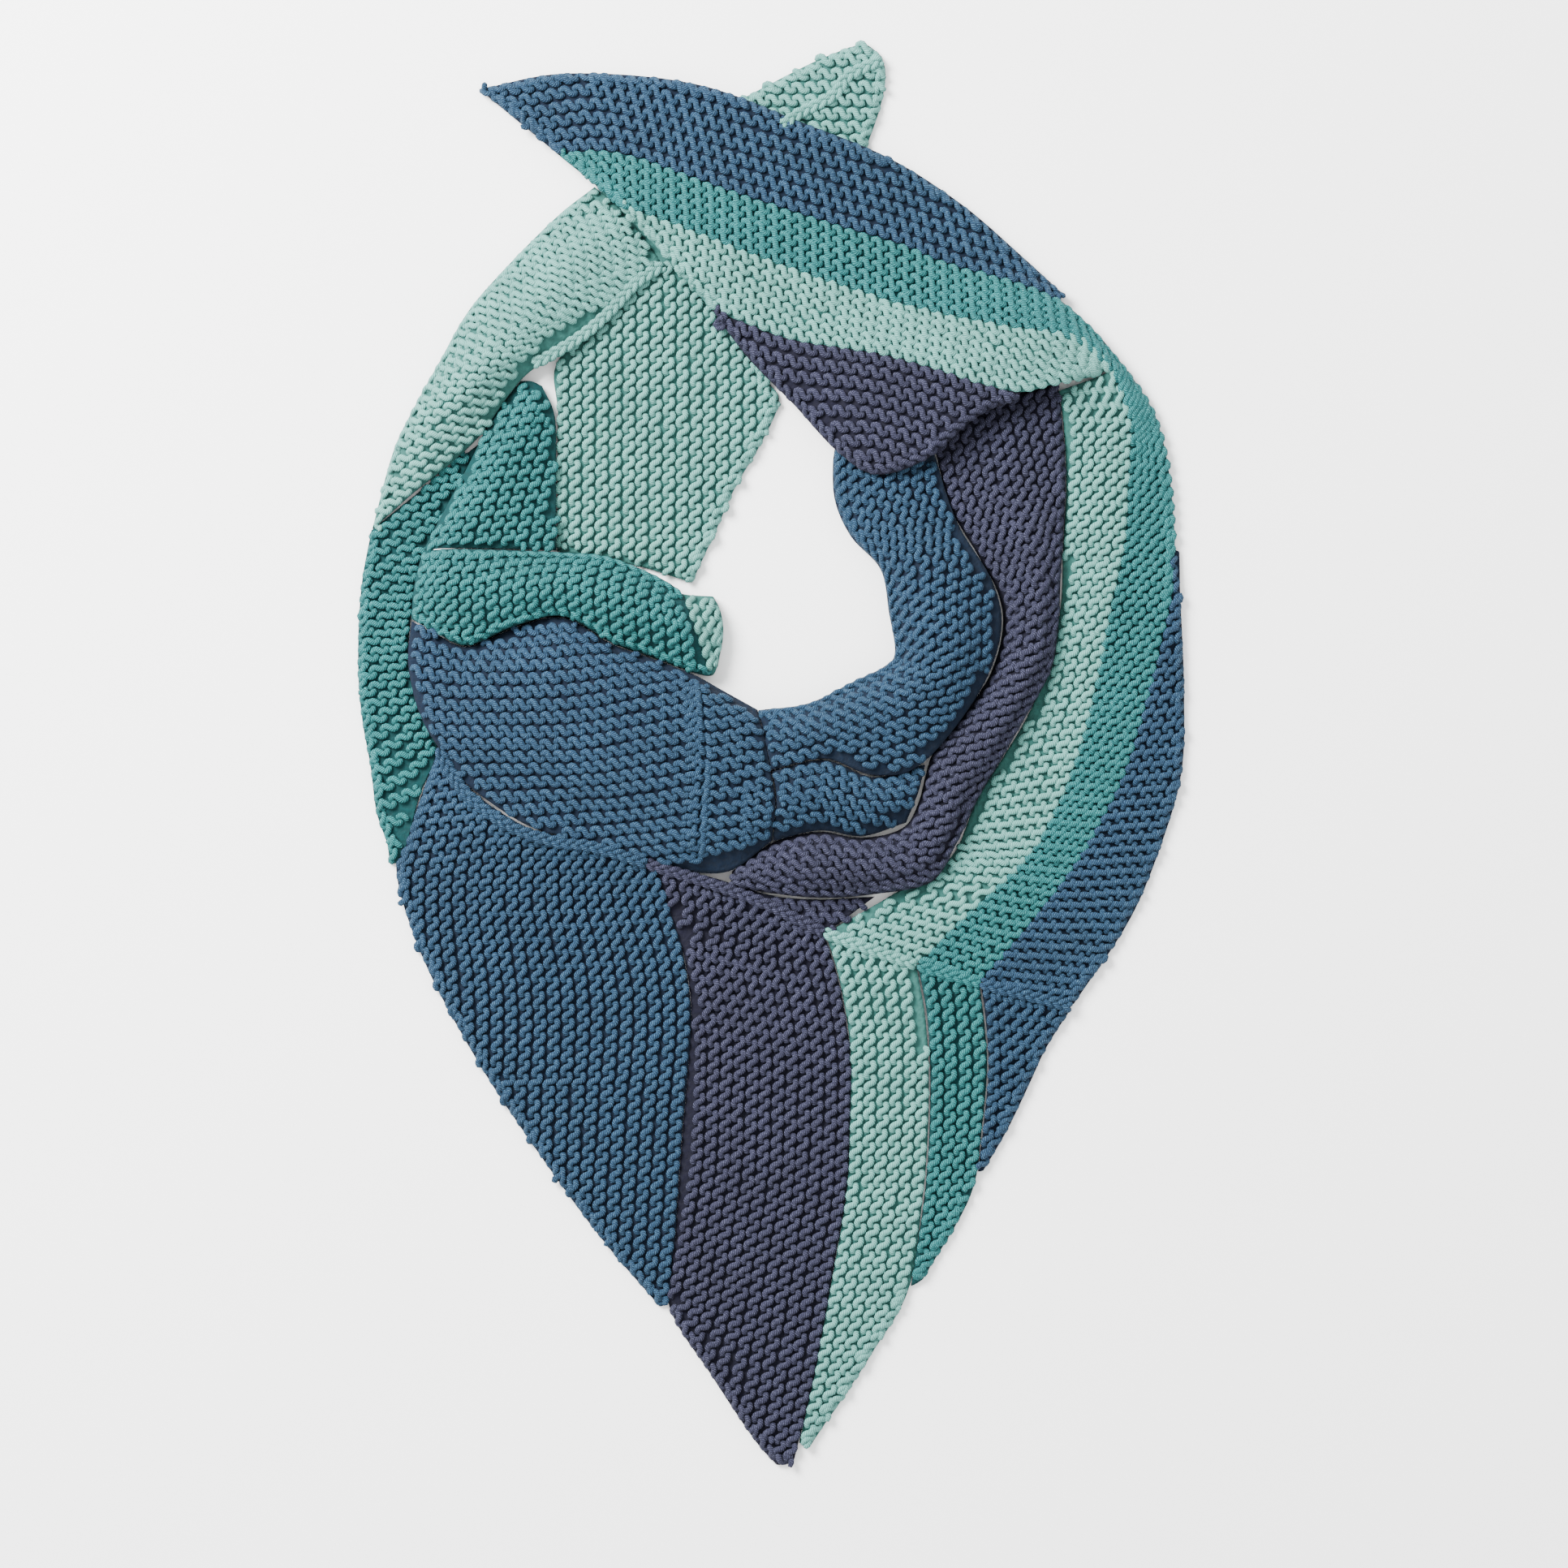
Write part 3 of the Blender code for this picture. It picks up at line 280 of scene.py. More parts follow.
# Front point, denim: from the spine down between the left outline and the aubergine seam
FRONT_DENIM = Stretch(
    ("outline", "outer", "left", "middle", "right", "seam"),
    (
        (
            (-139.8, 2.6, 5), (-126.2, -14, 11.4), (-104, -29, 12.4),
            (-85, -35.3, 11.9), (-66.6, -40.3, 11.2), (-49.8, -46.5, 10.5),
        ),
        (
            (-152, -32.5, 4.8), (-134, -36, 7), (-113, -43, 7.5),
            (-91, -50, 7), (-68, -58, 6.8), (-42.5, -65, 8),
        ),
        (
            (-157, -50, 4.6), (-137, -58, 5.4), (-114, -65, 6),
            (-90, -72, 5.8), (-64, -78, 5.6), (-37.5, -81, 6.6),
        ),
        (
            (-145.5, -86, 4.6), (-124, -91, 5), (-101, -97, 5.2),
            (-79, -102, 5), (-56, -106, 5), (-33.8, -108, 5.4),
        ),
        (
            (-124, -126.5, 4.6), (-107, -129, 4.8), (-90, -131, 5),
            (-72, -133, 5), (-54, -134, 5), (-35.4, -135, 5),
        ),
        (
            (-101, -161.5, 4.6), (-88, -162.5, 4.8), (-76, -163, 4.8),
            (-63, -164, 4.8), (-51, -165, 4.8), (-38.2, -166, 4.8),
        ),
        (
            (-73, -200, 4.6), (-66.5, -200, 4.6), (-60, -200.5, 4.6),
            (-53.5, -200.5, 4.6), (-47, -201, 4.6), (-40.4, -201, 4.6),
        ),
        (
            (-47, -230.5, 4.6), (-46.3, -230.4, 4.6), (-45.6, -230.2, 4.6),
            (-44.9, -230, 4.6), (-44.2, -229.8, 4.6), (-43.4, -229.5, 4.6),
        ),
    ),
)

# Front point, aubergine: between its two seams, down to the tip
FRONT_AUBERGINE = Stretch(
    ("denim_seam", "left", "middle", "right", "mint_seam"),
    (
        ((-49, -47, 10.5), (-27, -55, 9.6), (-3, -63, 9), (10, -69.8, 8.5), (21.8, -75, 8)),
        ((-41.9, -67, 7.8), (-24, -73, 7), (-6, -79, 6.4), (10, -84, 6.2), (26.2, -88, 6.5)),
        ((-36.4, -85, 6.3), (-20, -89, 5.8), (-3, -94, 5.6), (14, -99, 5.6), (30, -104.5, 5.8)),
        ((-33.6, -108, 5.4), (-17, -113, 5.2), (0, -118, 5.2), (17, -124, 5.2), (33.2, -130, 5.2)),
        ((-35.3, -135, 5), (-18, -140, 5), (-1, -145, 5), (16, -150, 5), (32.6, -155, 5)),
        ((-38, -166, 4.8), (-21, -170, 4.8), (-3, -174, 4.8), (14, -178, 4.8), (31.3, -182, 4.8)),
        ((-40.3, -201, 4.6), (-24, -203, 4.6), (-7, -205, 4.6), (9, -207, 4.6), (26.6, -210, 4.6)),
        ((-43, -230, 4.6), (-27, -232, 4.6), (-11, -234, 4.6), (5, -236, 4.6), (21.8, -238, 4.6)),
        ((-25, -259.8, 4.6), (-14.5, -260, 4.6), (-4, -261, 4.6), (6.5, -261.5, 4.6), (17.4, -262, 4.6)),
        ((-7.5, -286, 4.6), (-2.5, -285, 4.6), (2.5, -284, 4.6), (7.5, -283, 4.6), (12.6, -281.5, 4.6)),
        ((2, -296.8, 4.6), (4, -296.8, 4.6), (6, -296.6, 4.6), (7.8, -296, 4.6), (9.4, -294.5, 4.6)),
    ),
)

# Front point, the mint, teal and denim stripes, from the spine down to the right outline
FRONT_MINT = Stretch(
    ("aubergine_seam", "middle", "teal_seam"),
    (
        ((22.8, -75.2, 8), (42, -81.5, 8.3), (60.4, -88, 8.6)),
        ((28.5, -94.5, 6.5), (46, -101, 6.7), (64, -108, 6.7)),
        ((32.8, -122, 5.4), (49, -127, 5.8), (65.6, -131, 5.8)),
        ((32.7, -155, 5), (49, -156, 5.2), (65.3, -157, 5.2)),
        ((31.4, -182, 4.8), (47, -183, 4.8), (63.2, -184, 4.8)),
        ((27, -209, 4.6), (42, -215.5, 4.6), (57.3, -223, 4.6)),
        ((22, -237, 4.6), (32, -243, 4.6), (42.3, -249.5, 4.6)),
        ((17.4, -262, 4.6), (23, -266, 4.6), (29, -270, 4.6)),
        ((14.4, -275, 4.6), (18.3, -277.4, 4.6), (22.4, -279.4, 4.6)),
        ((11.6, -287.6, 4.6), (13.6, -288.6, 4.6), (15.8, -289.4, 4.6)),
    ),
)
FRONT_TEAL = Stretch(
    ("mint_seam", "middle", "denim_seam"),
    (
        ((61.2, -88.4, 8.6), (74, -92, 8.4), (86.7, -95.6, 8)),
        ((64.9, -108, 6.7), (77, -109.5, 6.6), (88.8, -111, 6.2)),
        ((66.3, -131, 5.8), (78, -131, 5.8), (90, -131, 5.6)),
        ((66, -157, 5.2), (77, -157, 5.2), (87.7, -157, 5)),
        ((64, -184, 4.8), (73, -182, 4.8), (83, -184.5, 4.6)),
        ((58.4, -222, 4.6), (60.5, -221, 4.6), (63.2, -219.2, 4.6)),
    ),
)
FRONT_NAVY = Stretch(
    ("teal_seam", "middle", "outline"),
    (
        ((87.6, -96, 8), (106, -101, 6.5), (125.4, -105.6, 4.8)),
        ((89.6, -111, 6.2), (102, -116.5, 5.4), (115, -122, 4.6)),
        ((90.8, -131, 5.6), (99, -134, 5), (108, -137, 4.6)),
        ((89.2, -150, 5.2), (93.5, -153.5, 4.8), (98.6, -156.5, 4.6)),
        ((86.4, -174, 4.8), (87.4, -174, 4.6), (88.6, -173.6, 4.6)),
    ),
)


def smooth(points: np.ndarray, where: np.ndarray) -> np.ndarray:
    """Take points on the curve that passes evenly through the given points.

    Args:
        points: The given points, one a row, or one a row and column.
        where: Positions counted in points.

    Returns:
        One point for each position.
    """
    last = len(points) - 1
    where = np.clip(np.asarray(where, dtype=float), 0.0, last)
    first = np.minimum(where.astype(int), last - 1)
    part = (where - first)[:, None]
    if points.ndim == 3:
        part = part[:, :, None]
    here, there = points[first], points[first + 1]
    before = np.where((first > 0).reshape(part.shape), points[np.maximum(first - 1, 0)], 2 * here - there)
    further = points[np.minimum(first + 2, last)]
    after = np.where((first < last - 1).reshape(part.shape), further, 2 * there - here)
    start, end = (there - before) / 2, (after - here) / 2
    square, cube = part**2, part**3
    return (
        (2 * cube - 3 * square + 1) * here
        + (cube - 2 * square + part) * start
        + (3 * square - 2 * cube) * there
        + (cube - square) * end
    )


def unit(vectors: np.ndarray) -> np.ndarray:
    """The vectors, each with a length of one."""
    return vectors / np.maximum(np.linalg.norm(vectors, axis=-1, keepdims=True), 1e-9)


def run_lengths(points: np.ndarray) -> np.ndarray:
    """How far along a line each of its points lies."""
    return np.concatenate([[0.0], np.cumsum(np.linalg.norm(np.diff(points, axis=0), axis=1))])


def fine_places(first: int, last: int, lengths: np.ndarray, step: float) -> np.ndarray:
    """Place even positions between two numbered lines.

    Args:
        first: Number of the first line.
        last: Number of the last line.
        lengths: Length from each line to the next.
        step: Wanted distance between two positions.

    Returns:
        Positions, counted in lines.
    """
    places = [float(first)]
    for number, length in zip(range(first, last), lengths):
        parts = max(2, round(float(length) / step))
        places += [number + (k + 1) / parts for k in range(parts)]
    return np.array(places)


def fine_grid(stretch: Stretch, lines: tuple, sections: tuple, step: float) -> tuple:
    """Lay a fine grid of points on part of a stretch.

    Args:
        stretch: The stretch of cloth.
        lines: First and last line.
        sections: First and last section.
        step: Wanted distance between two points.

    Returns:
        The grid, and the section number of each of its rows.
    """
    table = np.array(stretch.sections, dtype=float)
    (l0, l1), (s0, s1) = lines, sections
    part = table[s0 : s1 + 1, l0 : l1 + 1]
    along = fine_places(s0, s1, np.linalg.norm(np.diff(part, axis=0), axis=2).max(axis=1), step)
    across = fine_places(l0, l1, np.linalg.norm(np.diff(part, axis=1), axis=2).max(axis=0), step)
    rows = smooth(table, along)
    return np.stack([smooth(row, across) for row in rows]), along


def inside(points: np.ndarray, ring: np.ndarray) -> np.ndarray:
    """Tell which points in plan lie inside a ring.

    Args:
        points: Points, one a row.
        ring: The ring's corners.

    Returns:
        One truth value for each point.
    """
    a, b = ring, np.roll(ring, -1, axis=0)
    x, y = points[:, :1], points[:, 1:2]
    crosses = (a[:, 1] > y) != (b[:, 1] > y)
    rise = np.where(np.abs(b[:, 1] - a[:, 1]) < 1e-9, 1e-9, b[:, 1] - a[:, 1])
    at = a[:, 0] + (y - a[:, 1]) * (b[:, 0] - a[:, 0]) / rise
    return (crosses & (at > x)).sum(axis=1) % 2 == 1


def edge_ring(grid: np.ndarray) -> np.ndarray:
    """The grid's edge in plan, in order round it."""
    sides = (grid[:, 0], grid[-1, 1:], grid[-2::-1, -1], grid[0, -2:0:-1])
    return np.concatenate([side[:, :2] for side in sides])


NEIGHBOURS = ((-1, 0), (1, 0), (0, -1), (0, 1))


@dataclass
class HeightMap:
    """Heights of the cloth's outer face over the plan, on a square raster."""

    samples: np.ndarray
    cell: float = 1.5
    border: float = 36.0
    corner: np.ndarray = field(init=False)
    heights: np.ndarray = field(init=False)

    def __post_init__(self) -> None:
        """Fill the raster from the samples, and spread heights to the empty cells."""
        points = self.samples.reshape(-1, 3)
        self.corner = points[:, :2].min(axis=0) - self.border
        size = ((points[:, :2].max(axis=0) + self.border - self.corner) / self.cell).astype(int) + 2
        heights = np.full(size, -1.0)
        cells = ((points[:, :2] - self.corner) / self.cell + 0.5).astype(int)
        np.maximum.at(heights, (cells[:, 0], cells[:, 1]), points[:, 2])
        for _ in range(int(self.border / self.cell)):
            empty = heights < 0
            if not empty.any():
                break
            padded = np.pad(heights, 1, constant_values=-1.0)
            near = np.stack([padded[1 + i : size[0] + 1 + i, 1 + j : size[1] + 1 + j] for i, j in NEIGHBOURS])
            known = (near >= 0).sum(axis=0)
            spread = np.where(near >= 0, near, 0.0).sum(axis=0) / np.maximum(known, 1)
            heights = np.where(empty & (known > 0), spread, heights)
        self.heights = np.maximum(heights, 0.0)

    def at(self, plan: np.ndarray) -> np.ndarray:
        """Read heights.

        Args:
            plan: Places in plan, in any array shape that ends with x and y.

        Returns:
            The height at each place.
        """
        place = (plan[..., :2] - self.corner) / self.cell
        place = np.clip(place, 0.0, np.array(self.heights.shape) - 1.001)
        low = place.astype(int)
        part = place - low
        i, j = low[..., 0], low[..., 1]
        fx, fy = part[..., 0], part[..., 1]
        h = self.heights
        lower = h[i, j] * (1 - fx) + h[i + 1, j] * fx
        upper = h[i, j + 1] * (1 - fx) + h[i + 1, j + 1] * fx
        return lower * (1 - fy) + upper * fy


class Shade(Enum):
    """How a wool finish is used: on the yarn that shows, or as painted shade on the cloth in the gaps behind
    it.
    """

    YARN = "yarn"
    GAP_SHADE = "behind"


@dataclass(frozen=True)
class Wool:
    """Finish of one yarn: its colours, plies and loose fibres."""

    slot: str
    groove_shade: tuple  # painted shade: a darker colour that stands for the shade in the grooves between the plies
    body: tuple  # colour of the ply
    light: tuple  # colour of the pale fibres
    heather: float  # how far the pale fibres cover the ply
    ply_depth: float  # how strongly the twist shows
    roughness: float
    sheen: float
    plies: int = 4
    lay: float = 3.0  # length of one turn of the twist, in mm
    fibre_scale: float = 1500.0
    cloud_scale: float = 70.0
    grain_scale: float = 450.0

    def material(self, shade: Shade) -> bpy.types.Material:
        """Build the finish.

        Args:
            shade: Whether it is for the yarn, or for the cloth behind, which gets painted shade.

        Returns:
            The new material.
        """
        made = bpy.data.materials.new(f"{self.slot}_wool_{shade.value}")
        made.use_nodes = True
        nodes, links = made.node_tree.nodes, made.node_tree.links
        shader = nodes["Principled BSDF"]
        shader.inputs["Metallic"].default_value = 0.0
        shader.inputs["Sheen Weight"].default_value = self.sheen if shade is Shade.YARN else 0.0
        shader.inputs["Sheen Roughness"].default_value = 0.45
        shader.inputs["Sheen Tint"].default_value = (*self.light, 1.0)
        shader.inputs["Specular IOR Level"].default_value = 0.25
        place = nodes.new("ShaderNodeTexCoord")
        if shade is Shade.GAP_SHADE:
            self.paint_gap_shade(nodes, links, shader, place)
            return made
        twist = self.twist(nodes, links)
        fibre = self.noise(nodes, links, place, self.fibre_scale, 2.0, 0.6)
        cloud = self.noise(nodes, links, place, self.cloud_scale, 3.0)
        # Painted shade: the twist wave puts the groove shade in the grooves and the ply's colour on the plies
        ply = self.mixed(nodes, links, twist, self.groove_shade, self.body)
        pale = self.scaled(nodes, links, fibre, 0.46, 0.66, 0.0, self.heather)
        lit = nodes.new("ShaderNodeMix")
        lit.data_type = "RGBA"
        links.new(self.worked_out(nodes, links, "MULTIPLY", pale, twist), lit.inputs["Factor"])
        links.new(ply, lit.inputs["A"])
        lit.inputs["B"].default_value = (*self.light, 1.0)
        tone = nodes.new("ShaderNodeMix")
        tone.data_type = "RGBA"
        tone.blend_type = "MULTIPLY"
        tone.inputs["Factor"].default_value = 1.0
        links.new(lit.outputs["Result"], tone.inputs["A"])
        shift = self.scaled(nodes, links, cloud, 0.3, 0.7, 0.88, 1.1)
        links.new(shift, tone.inputs["B"])
        links.new(tone.outputs["Result"], shader.inputs["Base Color"])
        rough = self.scaled(nodes, links, fibre, 0.3, 0.7, self.roughness - 0.08, self.roughness + 0.06)
        links.new(rough, shader.inputs["Roughness"])
        fuzz = self.scaled(nodes, links, fibre, 0.3, 0.7, 0.0, 0.35)
        height = self.worked_out(nodes, links, "MULTIPLY_ADD", twist, self.ply_depth, fuzz)
        bump = nodes.new("ShaderNodeBump")
        bump.inputs["Strength"].default_value = 0.75
        bump.inputs["Distance"].default_value = 0.00035
        links.new(height, bump.inputs["Height"])
        links.new(bump.outputs["Normal"], shader.inputs["Normal"])
        return made

    def twist(self, nodes: bpy.types.Nodes, links: bpy.types.NodeLinks) -> bpy.types.NodeSocket:
        """Make the wave of the twisted plies, from the length along the yarn and the turn round it.

        Args:
            nodes: The material's nodes.
            links: The material's links.

        Returns:
            A socket that is 0 in the grooves and 1 on the plies.
        """
        length = nodes.new("ShaderNodeUVMap")
        length.uv_map = "yarn"
        split = nodes.new("ShaderNodeSeparateXYZ")
        links.new(length.outputs["UV"], split.inputs["Vector"])
        full = 2 * np.pi * self.plies
        turn = self.worked_out(nodes, links, "MULTIPLY", split.outputs["Y"], full)
        phase = self.worked_out(nodes, links, "MULTIPLY_ADD", split.outputs["X"], full / self.lay, turn)
        wave = self.worked_out(nodes, links, "SINE", phase)
        return self.scaled(nodes, links, wave, -1.0, 0.7, 0.0, 1.0)

    def paint_gap_shade(
        self,
        nodes: bpy.types.Nodes,
        links: bpy.types.NodeLinks,
        shader: bpy.types.ShaderNode,
        place: bpy.types.ShaderNode,
    ) -> None:
        """Finish the cloth in the gaps: rough and uneven, coloured in painted shade.

        Args:
            nodes: The material's nodes.
            links: The material's links.
            shader: The main shader.
            place: The texture coordinate node.
        """
        grain = self.noise(nodes, links, place, self.grain_scale, 3.0)
        # Painted shade: the gaps get the groove shade and a copy at four tenths of it, far below the yarn's own
        # colour
        deeper_gap_shade = tuple(0.4 * value for value in self.groove_shade)
        colour = self.mixed(nodes, links, grain, deeper_gap_shade, self.groove_shade)
        links.new(colour, shader.inputs["Base Color"])
        rough = self.scaled(nodes, links, grain, 0.3, 0.7, 0.88, 1.0)
        links.new(rough, shader.inputs["Roughness"])
        bump = nodes.new("ShaderNodeBump")
        bump.inputs["Strength"].default_value = 0.8
        bump.inputs["Distance"].default_value = 0.001
        links.new(grain, bump.inputs["Height"])
        links.new(bump.outputs["Normal"], shader.inputs["Normal"])

    def mixed(
        self,
        nodes: bpy.types.Nodes,
        links: bpy.types.NodeLinks,
        amount: bpy.types.NodeSocket,
        low: tuple,
        high: tuple,
    ) -> bpy.types.NodeSocket:
        """Mix two colours.

        Args:
            nodes: The material's nodes.
            links: The material's links.
            amount: Socket that says how much of the second colour.
            low: The first colour.
            high: The second colour.

        Returns:
            The mixed colour's socket.
        """
        mix = nodes.new("ShaderNodeMix")
        mix.data_type = "RGBA"
        links.new(amount, mix.inputs["Factor"])
        mix.inputs["A"].default_value = (*low, 1.0)
        mix.inputs["B"].default_value = (*high, 1.0)
        return mix.outputs["Result"]

    def scaled(
        self,
        nodes: bpy.types.Nodes,
        links: bpy.types.NodeLinks,
        value: bpy.types.NodeSocket,
        low: float,
        high: float,
        to_low: float,
        to_high: float,
    ) -> bpy.types.NodeSocket:
        """Bring a value from one range to another.

        Args:
            nodes: The material's nodes.
            links: The material's links.
            value: The socket to read.
            low: Start of the range read.
            high: End of the range read.
            to_low: Start of the new range.
            to_high: End of the new range.

        Returns:
            The socket of the new value.
        """
        reach = nodes.new("ShaderNodeMapRange")
        links.new(value, reach.inputs["Value"])
        for name, number in (("From Min", low), ("From Max", high), ("To Min", to_low), ("To Max", to_high)):
            reach.inputs[name].default_value = number
        return reach.outputs["Result"]

    def noise(
        self,
        nodes: bpy.types.Nodes,
        links: bpy.types.NodeLinks,
        place: bpy.types.ShaderNode,
        scale: float,
        detail: float,
        roughness: float = 0.5,
    ) -> bpy.types.NodeSocket:
        """Make an uneven pattern in the object's own space.

        Args:
            nodes: The material's nodes.
            links: The material's links.
            place: The texture coordinate node.
            scale: How fine it is.
            detail: How many finer patterns it holds.
            roughness: How strong those are.

        Returns:
            The socket of its strength.
        """
        noise = nodes.new("ShaderNodeTexNoise")
        for name, number in (("Scale", scale), ("Detail", detail), ("Roughness", roughness)):
            noise.inputs[name].default_value = number
        links.new(place.outputs["Object"], noise.inputs["Vector"])
        return noise.outputs["Fac"]

    def worked_out(
        self,
        nodes: bpy.types.Nodes,
        links: bpy.types.NodeLinks,
        operation: str,
        *values: bpy.types.NodeSocket | float,
    ) -> bpy.types.NodeSocket:
        """Do one sum.

        Args:
            nodes: The material's nodes.
            links: The material's links.
            operation: Which sum.
            values: The sockets and numbers that go into it.

        Returns:
            The socket of the result.
        """
        step = nodes.new("ShaderNodeMath")
        step.operation = operation
        for value, target in zip(values, step.inputs):
            if isinstance(value, bpy.types.NodeSocket):
                links.new(value, target)
            else:
                target.default_value = value
        return step.outputs["Value"]


class Yarn(Enum):
    """The four yarns of the shawl."""

    # Each finish gives its painted groove shade first, then the ply's colour and the colour of its pale fibres
    MINT = Wool(
        "mint", (0.030, 0.120, 0.105), (0.105, 0.275, 0.245), (0.19, 0.36, 0.33), 0.25, 0.35, 0.82, 0.08,
    )
    TEAL = Wool("teal", (0.001, 0.036, 0.038), (0.008, 0.110, 0.112), (0.075, 0.27, 0.27), 0.6, 0.8, 0.85, 0.08)
    DENIM = Wool(
        "denim", (0.001, 0.007, 0.020), (0.007, 0.034, 0.072), (0.065, 0.14, 0.21), 0.6, 0.8, 0.87, 0.08,
    )
    AUBERGINE = Wool(
        "aubergine", (0.004, 0.004, 0.013), (0.016, 0.017, 0.038), (0.090, 0.095, 0.15), 0.55, 0.8, 0.87, 0.08,
    )


@dataclass
class YarnMesh:
    """Many lengths of yarn gathered in one mesh, as six-sided tubes."""

    sides: int = 6
    end_share: float = 0.55  # how far the yarn narrows at its ends
    points: list = field(default_factory=list)
    faces: list = field(default_factory=list)
    turns: list = field(default_factory=list)
    used: int = 0

    def add(self, path: np.ndarray, normals: np.ndarray, radius: float, height: float) -> None:
        """Add one length of yarn.

        Args:
            path: Points along its middle, in millimetres.
            normals: The cloth's outward direction at each point.
            radius: Half its width.
            height: Half its height, as a share of the radius.
        """
        count, sides = len(path), self.sides
        if count < 3:
            return
        forward = unit(np.gradient(path, axis=0))
        beside = unit(np.cross(forward, normals))
        upward = np.cross(beside, forward)
        angles = 2 * np.pi * np.arange(sides) / sides
        size = np.full(count, radius)
        size[[0, -1]] *= self.end_share
        rise, reach = np.cos(angles)[None, :, None], np.sin(angles)[None, :, None]
        ring = rise * upward[:, None] * height + reach * beside[:, None]
        self.points.append((path[:, None] + ring * size[:, None, None]).reshape(-1, 3))
        i, k = np.meshgrid(np.arange(count - 1), np.arange(sides), indexing="ij")
        here, onward = i * sides, (i + 1) * sides
        other = (k + 1) % sides
        quads = np.stack([here + k, here + other, onward + other, onward + k], axis=-1).reshape(-1, 4)
        last = (count - 1) * sides
        start_cap = np.array([[0, 5, 4, 3], [0, 3, 2, 1]])
        end_cap = np.array([[0, 1, 2, 3], [0, 3, 4, 5]]) + last
        self.faces.append(np.concatenate([quads, start_cap, end_cap]) + self.used)
        length = run_lengths(path)
        a, b, low, high = length[i], length[i + 1], k / sides, (k + 1) / sides
        turn = np.stack([a, low, a, high, b, high, b, low], axis=-1).reshape(-1, 8)
        self.turns.append(np.concatenate([turn, np.zeros((4, 8))]))
        self.used += count * sides

    def build(self, name: str, material: bpy.types.Material) -> bpy.types.Object:
        """Make the object.

        Args:
            name: The object's name.
            material: Its finish.

        Returns:
            The new object.
        """
        points = (np.concatenate(self.points) - PLAN_CENTRE) * MM
        return mesh_object(name, points, np.concatenate(self.faces), material, np.concatenate(self.turns))

    @property
    def triangles(self) -> int:
        """How many triangles the tubes have."""
        return 2 * sum(len(part) for part in self.faces)


def mesh_object(
    name: str,
    points: np.ndarray,
    quads: np.ndarray,
    material: bpy.types.Material,
    turns: np.ndarray | None = None,
) -> bpy.types.Object:
    """Make an object from points and four-sided faces.

    Args:
        name: The object's name.
        points: Points in metres.
        quads: Four point numbers for each face.
        material: The finish.
        turns: Yarn coordinates of each face's corners, if it has them.

    Returns:
        The new object.
    """
    mesh = bpy.data.meshes.new(name)
    mesh.vertices.add(len(points))
    mesh.vertices.foreach_set("co", points.astype(np.float32).ravel())
    mesh.loops.add(quads.size)
    mesh.loops.foreach_set("vertex_index", quads.astype(np.int32).ravel())
    mesh.polygons.add(len(quads))
    mesh.polygons.foreach_set("loop_start", np.arange(0, quads.size, 4, dtype=np.int32))
    mesh.polygons.foreach_set("use_smooth", np.ones(len(quads), dtype=bool))
    if turns is not None:
        layer = mesh.uv_layers.new(name="yarn")
        layer.data.foreach_set("uv", turns.astype(np.float32).ravel())
    mesh.update(calc_edges=True)
    mesh.validate()
    mesh.materials.append(material)
    made = bpy.data.objects.new(name, mesh)
    bpy.context.scene.collection.objects.link(made)
    return made


@dataclass
class Ridge:
    """One ridge of the knitting, as a line on the cloth with marks that count its length."""

    points: np.ndarray
    normals: np.ndarray
    marks: np.ndarray

    def at(self, marks: np.ndarray) -> tuple:
        """Read the ridge.

        Args:
            marks: Where along the ridge.

        Returns:
            Points, outward directions and sideways directions there.
        """
        marks = np.clip(marks, self.marks[0], self.marks[-1])
        spots = np.stack([np.interp(marks, self.marks, self.points[:, k]) for k in range(3)], axis=1)
        outward = unit(np.stack([np.interp(marks, self.marks, self.normals[:, k]) for k in range(3)], axis=1))
        slopes = unit(np.gradient(self.points, axis=0))
        forward = np.stack([np.interp(marks, self.marks, slopes[:, k]) for k in range(3)], axis=1)
        return spots, outward, unit(np.cross(forward, outward))


